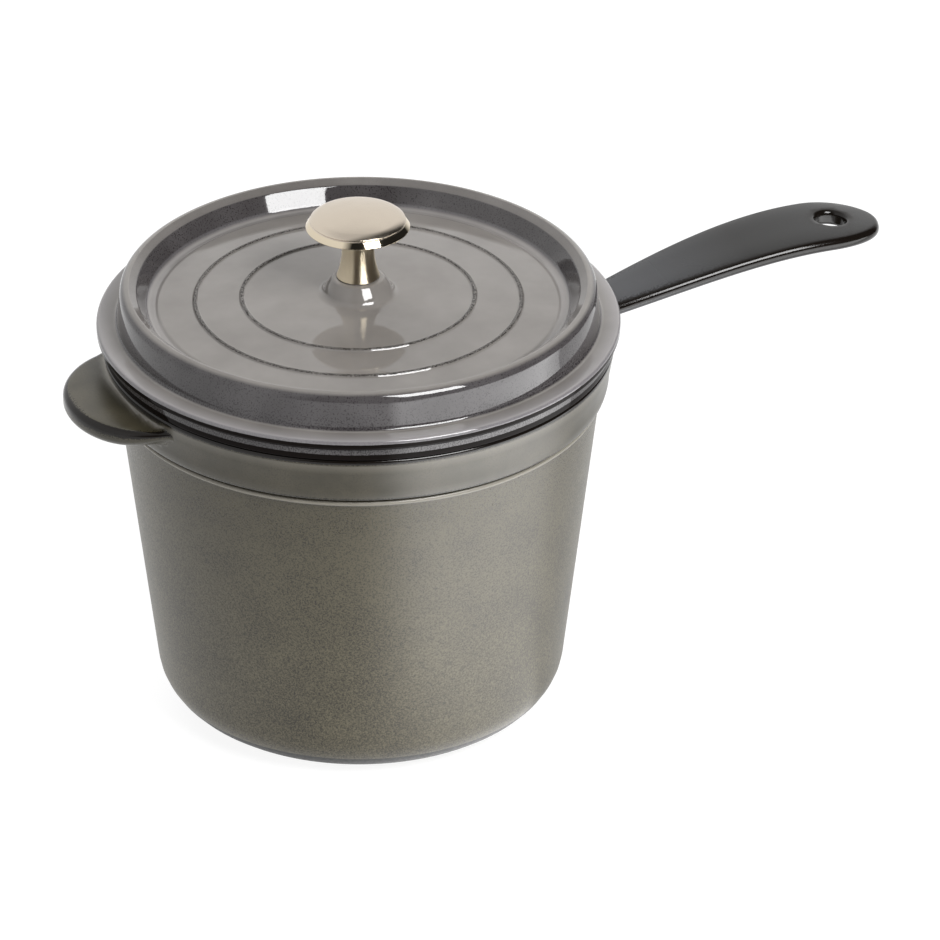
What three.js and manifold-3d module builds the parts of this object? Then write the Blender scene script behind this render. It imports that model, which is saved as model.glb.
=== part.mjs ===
// Enamelled cast-iron saucepan: a drafted pot cast in one piece with its long handle and helper lug, and a
// lift-off lid with a turned metal knob. Millimetres, +Z up, origin at the centre of the base's underside,
// +X along the handle.
import * as THREE from "three";
import { LoftGeometry } from "three/addons/geometries/LoftGeometry.js";
import { mergeVertices } from "three/addons/utils/BufferGeometryUtils.js";
import Module from "manifold-3d";

const wasm = await Module();
wasm.setup();

// Driving dimensions of the pot
const PAN_HEIGHT = 150.8; // base to rim
const MOUTH_RADIUS = 90; // inside, at the rim
const RIM_WIDTH = 8;
const RIM_ROUND = 1.5;
const COLLAR_HEIGHT = 19.2; // rim down to the foot of the collar
const COLLAR_TAPER = 2; // the collar narrows by this much before it rolls in
const COLLAR_ROLL = 8; // height of the rolled foot
const COLLAR_STEP = 5.4; // wall set back from the rim
const WALL = 4;
const WALL_DRAFT = THREE.MathUtils.degToRad(6.8);
const FLOOR = 5;
const BASE_CORNER = 19; // outside radius between wall and base
const BEAD_RADIUS = 0.9;
const BEAD_DROP = 1.5; // bead's middle below the collar

// Driving dimensions of the handle
const HANDLE_LENGTH = 119.5; // rim to tip
const HANDLE_DROP = 2.4; // top of the handle's root below the rim
const HANDLE_RISE = 12.2; // root to tip
const HANDLE_ROOT_SLOPE = Math.tan(THREE.MathUtils.degToRad(13.8));
const HANDLE_TIP_SLOPE = Math.tan(THREE.MathUtils.degToRad(-13.5));
const HANDLE_ROOT_WIDTH = 19.6;
const HANDLE_END_WIDTH = 35.6;
const HANDLE_END_ROUND = 25; // length of the rounded end
const HANDLE_TOP = 2.2; // height of the crowned top above the side edge
const HANDLE_BELLY = 4.3; // depth of the rounded underside below it
const HANG_HOLE_RADIUS = 6;
const HANG_HOLE_ROUND = 2;
const HANG_HOLE_INSET = 19.7; // hole's middle from the tip

// Driving dimensions of the helper lug
const LUG_REACH = 19.8; // past the rim
const LUG_LENGTH = 22.8; // half-axis of the half-moon, outwards
const LUG_HALF_WIDTH = 35.4;
const LUG_TOP = 3.4; // height of its top above the side edge
const LUG_BELLY = 5; // depth of its underside below it
const LUG_DROP = 4.6; // top of the lug below the rim

// Driving dimensions of the fillets where handle and lug grow out of the collar
const ROOT_FILLET = 4;
const ROOT_FILLET_LENGTH = 7;

// Shape of the sections across handle and lug: 1 gives an ellipse, smaller values squarer corners
const TOP_CORNER = 0.5;
const BELLY_CORNER = 0.75;
const END_CORNER = 0.25; // the same for the thickness as it closes towards the tip

// Driving dimensions of the lid
const SEAT_GAP = 0.3; // between two pieces that rest on each other
const LIP_HEIGHT = 4.8; // upright lip that stands on the rim
const FLANGE_OVERHANG = 2; // flange past the lip
const FLANGE_UNDERCUT = 1.1; // rise of the flange's underside over that width
const FLANGE_EDGE = 2.8; // upright part of the flange's edge
const FLANGE_ROUND = 1.6;
const LEDGE_WIDTH = 7.8; // flange's edge to the foot of the raised rim
const LEDGE_RISE = 9.3; // seat to the foot of the raised rim
const LEDGE_FILLET = 1.5;
const LID_RIM_RISE = 23.9; // seat to the top of the raised rim
const LID_RIM_LEAN = 1.6; // the rim's outside leans in by this much
const LID_RIM_TOP = 4.1; // width of the rounded top
const DISH_SLOPE = 11.5; // width of the slope from the rim down to the floor
const CROWN_RISE = 19.55; // seat to the middle of the domed floor
const CROWN_RADIUS = 616; // of the dome
const LID_WALL = 4.2;
const RING_INSETS = [12.8, 30.6]; // ring ridges, inwards from the floor's edge
const RING_RIDGE = 0.7;
const BOSS_TOP_RADIUS = 10.4;
const BOSS_HEIGHT = 6.9;
const BOSS_FILLET = 4;
const BOSS_ROUND = 1.4;
const LOCATOR_CLEARANCE = 0.8; // locating ring inside the mouth
const LOCATOR_WIDTH = 4;
const LOCATOR_DEPTH = 6;
const DRIP_RADIUS = 2.2;
const DRIP_TIP_RADIUS = 1;
const DRIP_HEIGHT = 3;
const DRIP_ROW_PITCH = 17;
const DRIP_PITCH = 26;

// Driving dimensions of the knob and its fastening
const KNOB_RADIUS = 20.1;
const KNOB_HEIGHT = 27.6;
const KNOB_DOME = 3.6;
const KNOB_BAND = 3.3; // polished edge of the head
const KNOB_BAND_LEAN = 0.6; // the edge leans in by this much towards the dome
const KNOB_UNDERCUT = 1.6; // rise of the head's underside towards the stem
const STEM_FOOT_RADIUS = 8.3;
const STEM_BEND_RADIUS = 6.4; // the stem's waist bends towards this radius
const STEM_BEND_HEIGHT = 4.8; // and this height above its foot
const STEM_TOP_RADIUS = 5.7;
const STEM_FLARE = 2.4; // fillet between stem and head
const SCREW_RADIUS = 2.5;
const SCREW_CLEARANCE = 0.3;
const SCREW_ENGAGEMENT = 12; // length of screw inside the knob
const SCREW_TIP = 0.8; // chamfer, and the room left above it
const SCREW_HEAD_RADIUS = 5;
const SCREW_HEAD_HEIGHT = 3.2;
const LID_HOLE_CLEARANCE = 0.8;
const WASHER_RADIUS = 8.5;
const WASHER_THICKNESS = 1.2;
const WASHER_PAD = 2; // flat round the washer on the lid's underside

// Fineness of the facets
const ROUND_STEPS = 48;
const KNOB_STEPS = 32;
const SMALL_STEPS = 16;
const DRIP_STEPS = 6;
const CORNER_STEPS = 6;
const ARC_STEPS = 3;
const RIDGE_STEPS = 2;
const SECTION_STEPS = 24;
const FILLET_SECTIONS = 3;
const SHANK_SECTIONS = 8;
const END_SECTIONS = 7;

// Sizes that follow from the ones above
const RIM_RADIUS = MOUTH_RADIUS + RIM_WIDTH;
const COLLAR_FOOT = PAN_HEIGHT - COLLAR_HEIGHT;
const WALL_TOP_RADIUS = RIM_RADIUS - COLLAR_STEP;
const WALL_SECTION = WALL / Math.cos(WALL_DRAFT); // wall measured level
const ARM_START = MOUTH_RADIUS; // handle and lug start inside the collar
const HANDLE_TIP = RIM_RADIUS + HANDLE_LENGTH;
const HANDLE_SHOULDER = HANDLE_TIP - HANDLE_END_ROUND;
const HANDLE_ROOT_TOP = PAN_HEIGHT - HANDLE_DROP;
const LUG_MIDDLE = RIM_RADIUS + LUG_REACH - LUG_LENGTH;
const LUG_EDGE = PAN_HEIGHT - LUG_DROP - LUG_TOP;
const LID_SEAT = PAN_HEIGHT + SEAT_GAP;
const FLANGE_RADIUS = RIM_RADIUS + FLANGE_OVERHANG;
const RIM_FOOT_RADIUS = FLANGE_RADIUS - LEDGE_WIDTH;
const LID_RIM_RADIUS = RIM_FOOT_RADIUS - LID_RIM_LEAN;
const LID_RIM_INNER = LID_RIM_RADIUS - LID_RIM_TOP;
const LID_FLOOR_RADIUS = LID_RIM_INNER - DISH_SLOPE;
const LID_CROWN = LID_SEAT + CROWN_RISE;
const LID_UNDERSIDE = LID_CROWN - LID_WALL;
const LOCATOR_RADIUS = MOUTH_RADIUS - LOCATOR_CLEARANCE;
const LID_HOLE_RADIUS = SCREW_RADIUS + LID_HOLE_CLEARANCE;
const SCREW_HOLE_RADIUS = SCREW_RADIUS + SCREW_CLEARANCE;
const BOSS_TOP = LID_CROWN + BOSS_HEIGHT;
const KNOB_FOOT = BOSS_TOP + SEAT_GAP;
const WASHER_TOP = LID_UNDERSIDE - SEAT_GAP;
const SCREW_HEAD_TOP = WASHER_TOP - WASHER_THICKNESS - SEAT_GAP;
const SCREW_END = KNOB_FOOT + SCREW_ENGAGEMENT;

const FULL_TURN = 2 * Math.PI;
const DOWN = -Math.PI / 2;
const OUT = 0;
const UP = Math.PI / 2;
const IN = Math.PI;

// A point of a profile: distance from the axis and height
const at = (radius, height) => new THREE.Vector2(radius, height);

// Points of a round or elliptical stretch of a profile
function arc(radius, height, width, rise, from, to, steps = ARC_STEPS) {
  const clockwise = to < from;
  return new THREE.EllipseCurve(radius, height, width, rise, from, to, clockwise).getPoints(steps);
}

// Points of a smooth stretch that leaves one point and reaches another along the lines to a corner
function bend(start, corner, end, steps = ARC_STEPS) {
  return new THREE.QuadraticBezierCurve(start, corner, end).getPoints(steps);
}

// A profile turned about the vertical axis
function turned(profile, steps = ROUND_STEPS) {
  return new THREE.LatheGeometry(profile, steps).rotateX(UP);
}

// A closed geometry as a solid that can be joined and cut
function solid(geometry) {
  const bare = new THREE.BufferGeometry();
  bare.setAttribute("position", geometry.attributes.position);
  bare.setIndex(geometry.index);
  const merged = mergeVertices(bare);
  const vertProperties = merged.attributes.position.array;
  const triVerts = new Uint32Array(merged.index.array);
  return new wasm.Manifold(new wasm.Mesh({ numProp: 3, vertProperties, triVerts }));
}

// A joined or cut solid as geometry again
function surface(body) {
  const { vertProperties, triVerts } = body.getMesh();
  const geometry = new THREE.BufferGeometry();
  geometry.setAttribute("position", new THREE.BufferAttribute(vertProperties, 3));
  geometry.setIndex(new THREE.BufferAttribute(triVerts, 1));
  geometry.computeVertexNormals();
  return geometry;
}

// A named sub-part with its own finish
function piece(name, geometry, finish) {
  const mesh = new THREE.Mesh(geometry, new THREE.MeshStandardMaterial(finish));
  mesh.name = name;
  return mesh;
}

// Outside radius of the drafted wall at a height
function wallRadius(height) {
  return WALL_TOP_RADIUS - (COLLAR_FOOT - height) * Math.tan(WALL_DRAFT);
}

// The pot filled solid: base, rounded corner, wall, bead, rolled collar and rim
function potOutside() {
  const corner = wallRadius(BASE_CORNER) - BASE_CORNER / Math.cos(WALL_DRAFT);
  const bead = COLLAR_FOOT - BEAD_DROP;
  const rollTop = COLLAR_FOOT + COLLAR_ROLL;
  const rollWidth = RIM_RADIUS - COLLAR_TAPER - WALL_TOP_RADIUS;
  const rimRound = PAN_HEIGHT - RIM_ROUND;
  return turned([
    at(0, 0),
    ...arc(corner, BASE_CORNER, BASE_CORNER, BASE_CORNER, DOWN, -WALL_DRAFT, CORNER_STEPS),
    ...arc(wallRadius(bead), bead, BEAD_RADIUS, BEAD_RADIUS, DOWN, UP),
    ...arc(WALL_TOP_RADIUS, rollTop, rollWidth, COLLAR_ROLL, DOWN, OUT),
    ...arc(RIM_RADIUS - RIM_ROUND, rimRound, RIM_ROUND, RIM_ROUND, OUT, UP),
    at(0, PAN_HEIGHT),
  ]);
}

// The space inside the pot, open past the rim
function potCavity() {
  const innerCorner = BASE_CORNER - WALL;
  const cornerHeight = FLOOR + innerCorner;
  const cornerRadius = wallRadius(cornerHeight) - WALL_SECTION - innerCorner / Math.cos(WALL_DRAFT);
  const rimRound = PAN_HEIGHT - RIM_ROUND;
  const mouth = MOUTH_RADIUS + RIM_ROUND;
  const above = PAN_HEIGHT + RIM_ROUND;
  return turned([
    at(0, FLOOR),
    ...arc(cornerRadius, cornerHeight, innerCorner, innerCorner, DOWN, -WALL_DRAFT, CORNER_STEPS),
    at(wallRadius(COLLAR_FOOT) - WALL_SECTION, COLLAR_FOOT),
    ...arc(mouth, rimRound, RIM_ROUND, RIM_ROUND, IN, UP),
    at(mouth, above),
    at(0, above),
  ]);
}

// Size of the root fillet at a distance from the axis: all of it inside the collar, none past its length
function rootFillet(reach, room = ROOT_FILLET) {
  const past = Math.max(reach - RIM_RADIUS, 0) / ROOT_FILLET_LENGTH;
  return THREE.MathUtils.clamp(room, 0, ROOT_FILLET) * Math.max(1 - past, 0) ** 2;
}

// Where sections stand along an arm: close together in the fillet, then evenly, then closing up to the tip
function stations(shoulder, tip, shankSections) {
  const filletEnd = RIM_RADIUS + ROOT_FILLET_LENGTH;
  const reaches = [ARM_START];
  for (let step = 0; step < FILLET_SECTIONS; step += 1) {
    reaches.push(THREE.MathUtils.lerp(RIM_RADIUS, filletEnd, step / FILLET_SECTIONS));
  }
  for (let step = 0; step < shankSections; step += 1) {
    reaches.push(THREE.MathUtils.lerp(filletEnd, shoulder, step / shankSections));
  }
  const round = Math.max(shoulder, filletEnd);
  for (let step = 0; step <= END_SECTIONS; step += 1) {
    const turn = (step / (END_SECTIONS + 1 / END_SECTIONS)) * UP;
    reaches.push(round + (tip - round) * Math.sin(turn));
  }
  return reaches;
}

// One section across an arm, bent round the pot's axis as the collar is: a crowned top over a rounder belly
function armSection(reach, edge, halfWidth, top, belly) {
  return Array.from({ length: SECTION_STEPS }, (_, step) => {
    const angle = (step / SECTION_STEPS) * FULL_TURN;
    const side = halfWidth * Math.sign(Math.cos(angle)) * Math.abs(Math.cos(angle)) ** TOP_CORNER;
    const height = Math.abs(Math.sin(angle));
    const rise = Math.sin(angle) > 0 ? top * height ** TOP_CORNER : -belly * height ** BELLY_CORNER;
    return new THREE.Vector3(Math.sqrt(reach ** 2 - side ** 2), side, edge + rise);
  });
}

// Share of the full width and of the full thickness left on the way from an arm's shoulder to its tip
function endShares(reach, shoulder, tip) {
  const share = Math.max((reach - shoulder) / (tip - shoulder), 0);
  return { width: Math.sqrt(1 - share ** 2), thickness: (1 - share ** (1 / END_CORNER)) ** END_CORNER };
}

// Height of the handle's top along its length: a cubic set by its ends and its slopes there
function handleTop(reach) {
  const share = (reach - RIM_RADIUS) / HANDLE_LENGTH;
  const rootPull = HANDLE_ROOT_SLOPE * HANDLE_LENGTH;
  const tipPull = HANDLE_TIP_SLOPE * HANDLE_LENGTH;
  const square = 3 * HANDLE_RISE - 2 * rootPull - tipPull;
  const cube = rootPull + tipPull - 2 * HANDLE_RISE;
  return HANDLE_ROOT_TOP + rootPull * share + square * share ** 2 + cube * share ** 3;
}

// The handle's width before its fillet and its rounded end: it grows fast at first, then eases
function handleWidth(reach) {
  const share = THREE.MathUtils.clamp((reach - RIM_RADIUS) / (HANDLE_SHOULDER - RIM_RADIUS), 0, 1);
  const ease = 1 - (1 - share) ** 2;
  return THREE.MathUtils.lerp(HANDLE_ROOT_WIDTH, HANDLE_END_WIDTH, ease);
}

// The handle: lofted from inside the collar to its rounded end, less the hang hole
function handle() {
  const sections = stations(HANDLE_SHOULDER, HANDLE_TIP, SHANK_SECTIONS).map((reach) => {
    const end = endShares(reach, HANDLE_SHOULDER, HANDLE_TIP);
    const edge = handleTop(reach) - HANDLE_TOP;
    const halfWidth = (handleWidth(reach) / 2) * end.width + rootFillet(reach);
    const top = HANDLE_TOP * end.thickness + rootFillet(reach, HANDLE_DROP - RIM_ROUND);
    const belly = HANDLE_BELLY * end.thickness + rootFillet(reach);
    return armSection(reach, edge, halfWidth, top, belly);
  });
  const shank = solid(new LoftGeometry(sections, { capStart: true, capEnd: true }));
  return shank.subtract(solid(hangHole()));
}

// The cutter of the hang hole: a spool that flares at the handle's two faces
function hangHole() {
  const reach = HANDLE_TIP - HANG_HOLE_INSET;
  const top = handleTop(reach);
  const bottom = top - HANDLE_TOP - HANDLE_BELLY;
  const round = HANG_HOLE_ROUND;
  const mouth = HANG_HOLE_RADIUS + round;
  const spool = turned(
    [
      at(0, bottom - HANDLE_BELLY),
      at(mouth, bottom - HANDLE_BELLY),
      ...arc(mouth, bottom + round, round, round, DOWN, -IN),
      ...arc(mouth, top - round, round, round, IN, UP),
      at(mouth, top + HANDLE_BELLY),
      at(0, top + HANDLE_BELLY),
    ],
    SECTION_STEPS,
  );
  return spool.translate(reach, 0, 0);
}

// The helper lug: a half-moon with rounded edges, opposite the handle
function lug() {
  const tip = LUG_MIDDLE + LUG_LENGTH;
  const sections = stations(RIM_RADIUS, tip, 0).map((reach) => {
    const end = endShares(reach, LUG_MIDDLE, tip);
    const halfWidth = LUG_HALF_WIDTH * end.width + rootFillet(reach);
    const top = LUG_TOP * end.thickness + rootFillet(reach, LUG_DROP - RIM_ROUND);
    const belly = LUG_BELLY * end.thickness + rootFillet(reach);
    return armSection(reach, LUG_EDGE, halfWidth, top, belly);
  });
  return new LoftGeometry(sections, { capStart: true, capEnd: true }).rotateZ(IN);
}

// Pot, handle and lug are one casting, hollowed last so that nothing reaches inside
function panBody() {
  return solid(potOutside()).add(handle()).add(solid(lug())).subtract(solid(potCavity()));
}

// Height of the lid's domed floor at a distance from the axis
function floorHeight(radius) {
  return LID_CROWN - radius ** 2 / (2 * CROWN_RADIUS);
}

// The lid's underside, from the screw hole out to the lip
function lidUnderside() {
  const pad = WASHER_RADIUS + WASHER_PAD;
  const locatorInner = LOCATOR_RADIUS - LOCATOR_WIDTH;
  const locatorFoot = LID_SEAT - LOCATOR_DEPTH;
  const round = LOCATOR_WIDTH / 2;
  const domeEdge = at(LID_FLOOR_RADIUS, floorHeight(LID_FLOOR_RADIUS) - LID_WALL);
  return [
    at(LID_HOLE_RADIUS, LID_UNDERSIDE),
    at(pad, LID_UNDERSIDE),
    ...bend(domeEdge, at(locatorInner, domeEdge.y), at(locatorInner, LID_SEAT)),
    ...arc(LOCATOR_RADIUS - round, locatorFoot + round, round, round, -IN, OUT),
    at(LOCATOR_RADIUS, LID_SEAT),
  ];
}

// The lid's edge, from the lip on the rim up over the flange to the top of the raised rim
function lidEdge() {
  const flangeFoot = LID_SEAT + LIP_HEIGHT;
  const shoulder = flangeFoot + FLANGE_EDGE;
  const ledge = at(RIM_FOOT_RADIUS, LID_SEAT + LEDGE_RISE);
  const round = LID_RIM_TOP / 2;
  const rimRound = LID_SEAT + LID_RIM_RISE - round;
  const ledgeStart = at(FLANGE_RADIUS - FLANGE_ROUND, shoulder + FLANGE_ROUND);
  const filletStart = ledge.clone().lerp(ledgeStart, LEDGE_FILLET / LEDGE_WIDTH);
  return [
    at(RIM_RADIUS, LID_SEAT),
    at(RIM_RADIUS, flangeFoot),
    at(FLANGE_RADIUS, flangeFoot + FLANGE_UNDERCUT),
    ...arc(FLANGE_RADIUS - FLANGE_ROUND, shoulder, FLANGE_ROUND, FLANGE_ROUND, OUT, UP),
    ...bend(filletStart, ledge, at(ledge.x, ledge.y + LEDGE_FILLET)),
    ...arc(LID_RIM_RADIUS - round, rimRound, round, round, OUT, IN),
  ];
}

// The lid's top, from the raised rim down the dish, over the ring ridges and up the boss to the screw hole
function lidTop() {
  const floorEdge = at(LID_FLOOR_RADIUS, floorHeight(LID_FLOOR_RADIUS));
  const rimFoot = at(LID_RIM_INNER, LID_SEAT + LID_RIM_RISE - LID_RIM_TOP);
  const dishCorner = at((LID_FLOOR_RADIUS + LID_RIM_INNER) / 2, floorEdge.y);
  const rings = RING_INSETS.map((inset) => LID_FLOOR_RADIUS - inset);
  const ridge = (ring) => arc(ring, floorHeight(ring), RING_RIDGE, RING_RIDGE, OUT, IN, RIDGE_STEPS);
  const bossFoot = BOSS_TOP_RADIUS + BOSS_FILLET;
  return [
    ...bend(rimFoot, dishCorner, floorEdge),
    ...rings.flatMap(ridge),
    ...bend(
      at(bossFoot, floorHeight(bossFoot)),
      at(BOSS_TOP_RADIUS, floorHeight(BOSS_TOP_RADIUS)),
      at(BOSS_TOP_RADIUS, floorHeight(BOSS_TOP_RADIUS) + BOSS_FILLET),
    ),
    ...arc(BOSS_TOP_RADIUS - BOSS_ROUND, BOSS_TOP - BOSS_ROUND, BOSS_ROUND, BOSS_ROUND, OUT, UP),
    at(LID_HOLE_RADIUS, BOSS_TOP),
    at(LID_HOLE_RADIUS, LID_UNDERSIDE),
  ];
}

// Rows of drip points under the lid, as many as fit between the washer and the dish
function dripPoints() {
  const points = [];
  const first = WASHER_RADIUS + WASHER_PAD + DRIP_ROW_PITCH;
  for (let row = first; row < LID_FLOOR_RADIUS - DRIP_RADIUS; row += DRIP_ROW_PITCH) {
    const count = Math.floor((FULL_TURN * row) / DRIP_PITCH);
    const root = floorHeight(row) - LID_WALL / 2;
    const height = LID_WALL / 2 + DRIP_HEIGHT;
    for (let step = 0; step < count; step += 1) {
      const angle = (step / count) * FULL_TURN;
      const cone = new THREE.CylinderGeometry(DRIP_RADIUS, DRIP_TIP_RADIUS, height, DRIP_STEPS).rotateX(UP);
      points.push(cone.translate(row * Math.cos(angle), row * Math.sin(angle), root - height / 2));
    }
  }
  return points;
}

function lid() {
  const casting = solid(turned([...lidUnderside(), ...lidEdge(), ...lidTop()]));
  return dripPoints().reduce((body, point) => body.add(solid(point)), casting);
}

// The knob: waisted stem, mushroom head with a polished edge, and the blind hole for the screw
function knob() {
  const headTop = KNOB_FOOT + KNOB_HEIGHT;
  const bandTop = headTop - KNOB_DOME;
  const bandFoot = bandTop - KNOB_BAND;
  const bandTopRadius = KNOB_RADIUS - KNOB_BAND_LEAN;
  const underside = bandFoot + KNOB_UNDERCUT;
  const stemTop = underside - STEM_FLARE;
  const holeTop = SCREW_END + SCREW_TIP;
  return turned(
    [
      at(SCREW_HOLE_RADIUS, KNOB_FOOT),
      ...bend(
        at(STEM_FOOT_RADIUS, KNOB_FOOT),
        at(STEM_BEND_RADIUS, KNOB_FOOT + STEM_BEND_HEIGHT),
        at(STEM_TOP_RADIUS, stemTop),
        CORNER_STEPS,
      ),
      ...bend(
        at(STEM_TOP_RADIUS, stemTop),
        at(STEM_TOP_RADIUS, underside),
        at(STEM_TOP_RADIUS + STEM_FLARE, underside),
      ),
      at(KNOB_RADIUS, bandFoot),
      ...bend(
        at(bandTopRadius, bandTop),
        at(bandTopRadius / 2, headTop),
        at(0, headTop),
        CORNER_STEPS,
      ),
      at(0, holeTop),
      at(SCREW_HOLE_RADIUS, SCREW_END),
      at(SCREW_HOLE_RADIUS, KNOB_FOOT),
    ],
    KNOB_STEPS,
  );
}

function knobScrew() {
  const headFoot = SCREW_HEAD_TOP - SCREW_HEAD_HEIGHT;
  return turned(
    [
      at(0, headFoot),
      ...arc(0, SCREW_HEAD_TOP, SCREW_HEAD_RADIUS, SCREW_HEAD_HEIGHT, DOWN, OUT),
      at(SCREW_RADIUS, SCREW_HEAD_TOP),
      at(SCREW_RADIUS, SCREW_END - SCREW_TIP),
      at(SCREW_RADIUS - SCREW_TIP, SCREW_END),
      at(0, SCREW_END),
    ],
    SMALL_STEPS,
  );
}

function knobWasher() {
  const washerFoot = WASHER_TOP - WASHER_THICKNESS;
  return turned(
    [
      at(SCREW_HOLE_RADIUS, washerFoot),
      at(WASHER_RADIUS, washerFoot),
      at(WASHER_RADIUS, WASHER_TOP),
      at(SCREW_HOLE_RADIUS, WASHER_TOP),
      at(SCREW_HOLE_RADIUS, washerFoot),
    ],
    SMALL_STEPS,
  );
}

const ENAMEL = { color: 0x6d6a67, roughness: 0.28, metalness: 0 };
const NICKEL = { color: 0xc9c1b4, roughness: 0.3, metalness: 1 };
const STEEL = { color: 0xb4b4b2, roughness: 0.35, metalness: 1 };

const saucepan = new THREE.Group();
saucepan.add(
  piece("pan_body", surface(panBody()), ENAMEL),
  piece("lid", surface(lid()), ENAMEL),
  piece("knob", knob(), NICKEL),
  piece("knob_screw", knobScrew(), STEEL),
  piece("knob_washer", knobWasher(), STEEL),
);

export default saucepan;
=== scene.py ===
# %% [markdown]
# # An enamelled cast-iron saucepan
# A tall pot is cast in one piece with its long handle and a small helper lug. A heavy lid lies on the rim, and a
# turned nickel knob is screwed to it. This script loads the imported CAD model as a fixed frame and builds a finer
# mesh for every piece in the same place. It works in millimetres and turns to metres when a piece is finished.

# %% Load the frame
import math

import bmesh
import bpy
from mathutils import Matrix, Vector


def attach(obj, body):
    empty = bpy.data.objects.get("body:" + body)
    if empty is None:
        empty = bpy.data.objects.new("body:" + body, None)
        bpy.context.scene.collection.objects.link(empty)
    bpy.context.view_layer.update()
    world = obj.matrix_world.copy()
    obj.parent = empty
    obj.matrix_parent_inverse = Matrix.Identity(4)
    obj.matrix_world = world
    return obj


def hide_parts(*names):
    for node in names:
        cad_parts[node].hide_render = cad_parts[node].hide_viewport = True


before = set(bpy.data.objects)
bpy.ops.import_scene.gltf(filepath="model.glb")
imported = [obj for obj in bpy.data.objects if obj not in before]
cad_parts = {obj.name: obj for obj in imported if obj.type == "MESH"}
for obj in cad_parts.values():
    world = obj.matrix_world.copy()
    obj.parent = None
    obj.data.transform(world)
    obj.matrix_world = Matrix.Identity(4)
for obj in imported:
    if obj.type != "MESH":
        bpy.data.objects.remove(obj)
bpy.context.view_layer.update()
MM = 0.001

# %% [markdown]
# ## Turned pieces
# The pot, the lid and the knob are round, so each is half a section turned about the vertical axis. A section could
# be typed in point by point, but a foundry drawing gives corners and their roundings. So the profile starts as a few
# corner points, a vertex bevel rounds each one, and a spin sweeps it round. Long straight stretches are subdivided,
# because smooth shading spreads a corner's bend over the whole length of the next face.

# %% A profile of rounded corners
ROUND_SEGMENTS = 8
LONGEST_STEP = 2.5
THIN_AND_PAINTED = "thin_enamel_and_painted_light"


def draw_profile(bm, corners, closed=False):
    """Joins corners of radius, height, cut and enamel mark, rounds each by its cut, and notes the mark there: thinly
    run enamel, painted shade in some creases and, below zero, a painted highlight.
    """
    layer = bm.verts.layers.float.new(THIN_AND_PAINTED)
    points = [bm.verts.new((radius, 0, height)) for radius, height, cut, thin_and_painted in corners]
    pairs = list(zip(points, points[1:]))
    if closed:
        pairs.append((points[-1], points[0]))
    for pair in pairs:
        bm.edges.new(pair)
    for point, (radius, height, cut, thin_and_painted) in zip(points, corners):
        if cut == 0:
            point[layer] = thin_and_painted
            continue
        arc = bmesh.ops.bevel(bm, geom=[point], offset=cut, segments=ROUND_SEGMENTS, profile=0.5,
                              affect="VERTICES", material=-1)["verts"]
        for vert in arc:
            vert[layer] = thin_and_painted
    for edge in list(bm.edges):
        cuts = int(edge.calc_length() / LONGEST_STEP)
        if cuts:
            bmesh.ops.subdivide_edges(bm, edges=[edge], cuts=cuts)


# %% A profile turned to a closed skin
MERGE = 0.001


def turn(bm, steps):
    """Spins a profile once round the axis and closes it."""
    bmesh.ops.spin(bm, geom=bm.verts[:] + bm.edges[:], cent=(0, 0, 0), axis=(0, 0, 1), angle=math.tau,
                   steps=steps, use_merge=True)
    bmesh.ops.remove_doubles(bm, verts=bm.verts, dist=MERGE)
    bmesh.ops.recalc_face_normals(bm, faces=bm.faces)


def make_object(bm, name):
    """The bmesh as an object in metres, smooth shaded."""
    for face in bm.faces:
        face.smooth = True
    open_edges = sum(not edge.is_manifold for edge in bm.edges)
    volume = bm.calc_volume(signed=True) / 1000
    bmesh.ops.scale(bm, vec=(MM, MM, MM), verts=bm.verts)
    mesh = bpy.data.meshes.new(name)
    bm.to_mesh(mesh)
    bm.free()
    made = bpy.data.objects.new(name, mesh)
    bpy.context.scene.collection.objects.link(made)
    print(name, len(mesh.polygons), "faces,", open_edges, "open edges,", round(volume, 1), "cm3")
    return made


# %% [markdown]
# ## The pot
# The wall is drafted so that the casting leaves its mould: the base is narrower than the mouth. A bead and a rolled
# collar stiffen the top, and the rim is narrow and rounded. Outside and inside are one profile that starts and ends
# on the axis, so the spin gives a closed wall of the right thickness at once.

# %% The pot's profile
RIM_HEIGHT = 150.8
RIM_RADIUS = 98.0
MOUTH_RADIUS = 90.0
RIM_ROUND = 1.4
COLLAR_FOOT = 131.6
COLLAR_ROLL = 8.0
COLLAR_TOP_ROLL = COLLAR_FOOT + COLLAR_ROLL
COLLAR_RADIUS = 96.0
WALL_TOP_RADIUS = 92.6
WALL = 4.0
FLOOR = 5.0
DRAFT = math.tan(math.radians(6.8))
BASE_CUT = 16.5
BEAD = 0.95
BEAD_HEIGHT = COLLAR_FOOT - 1.7
# Where the collar is painted pale below the rim: a painted highlight
PAINTED_HIGHLIGHT_FOOT = 144.5
PAINTED_HIGHLIGHT_TOP = 148.2
MOUTH_BLEND = 8.0
POT_STEPS = 160


def wall_radius(height):
    """The outside of the drafted wall."""
    return WALL_TOP_RADIUS - (COLLAR_FOOT - height) * DRAFT


def collar_radius(height):
    """The outside of the collar, which leans out to the rim."""
    return COLLAR_RADIUS + (RIM_RADIUS - COLLAR_RADIUS) * (height - COLLAR_TOP_ROLL) / (RIM_HEIGHT - COLLAR_TOP_ROLL)


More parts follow.
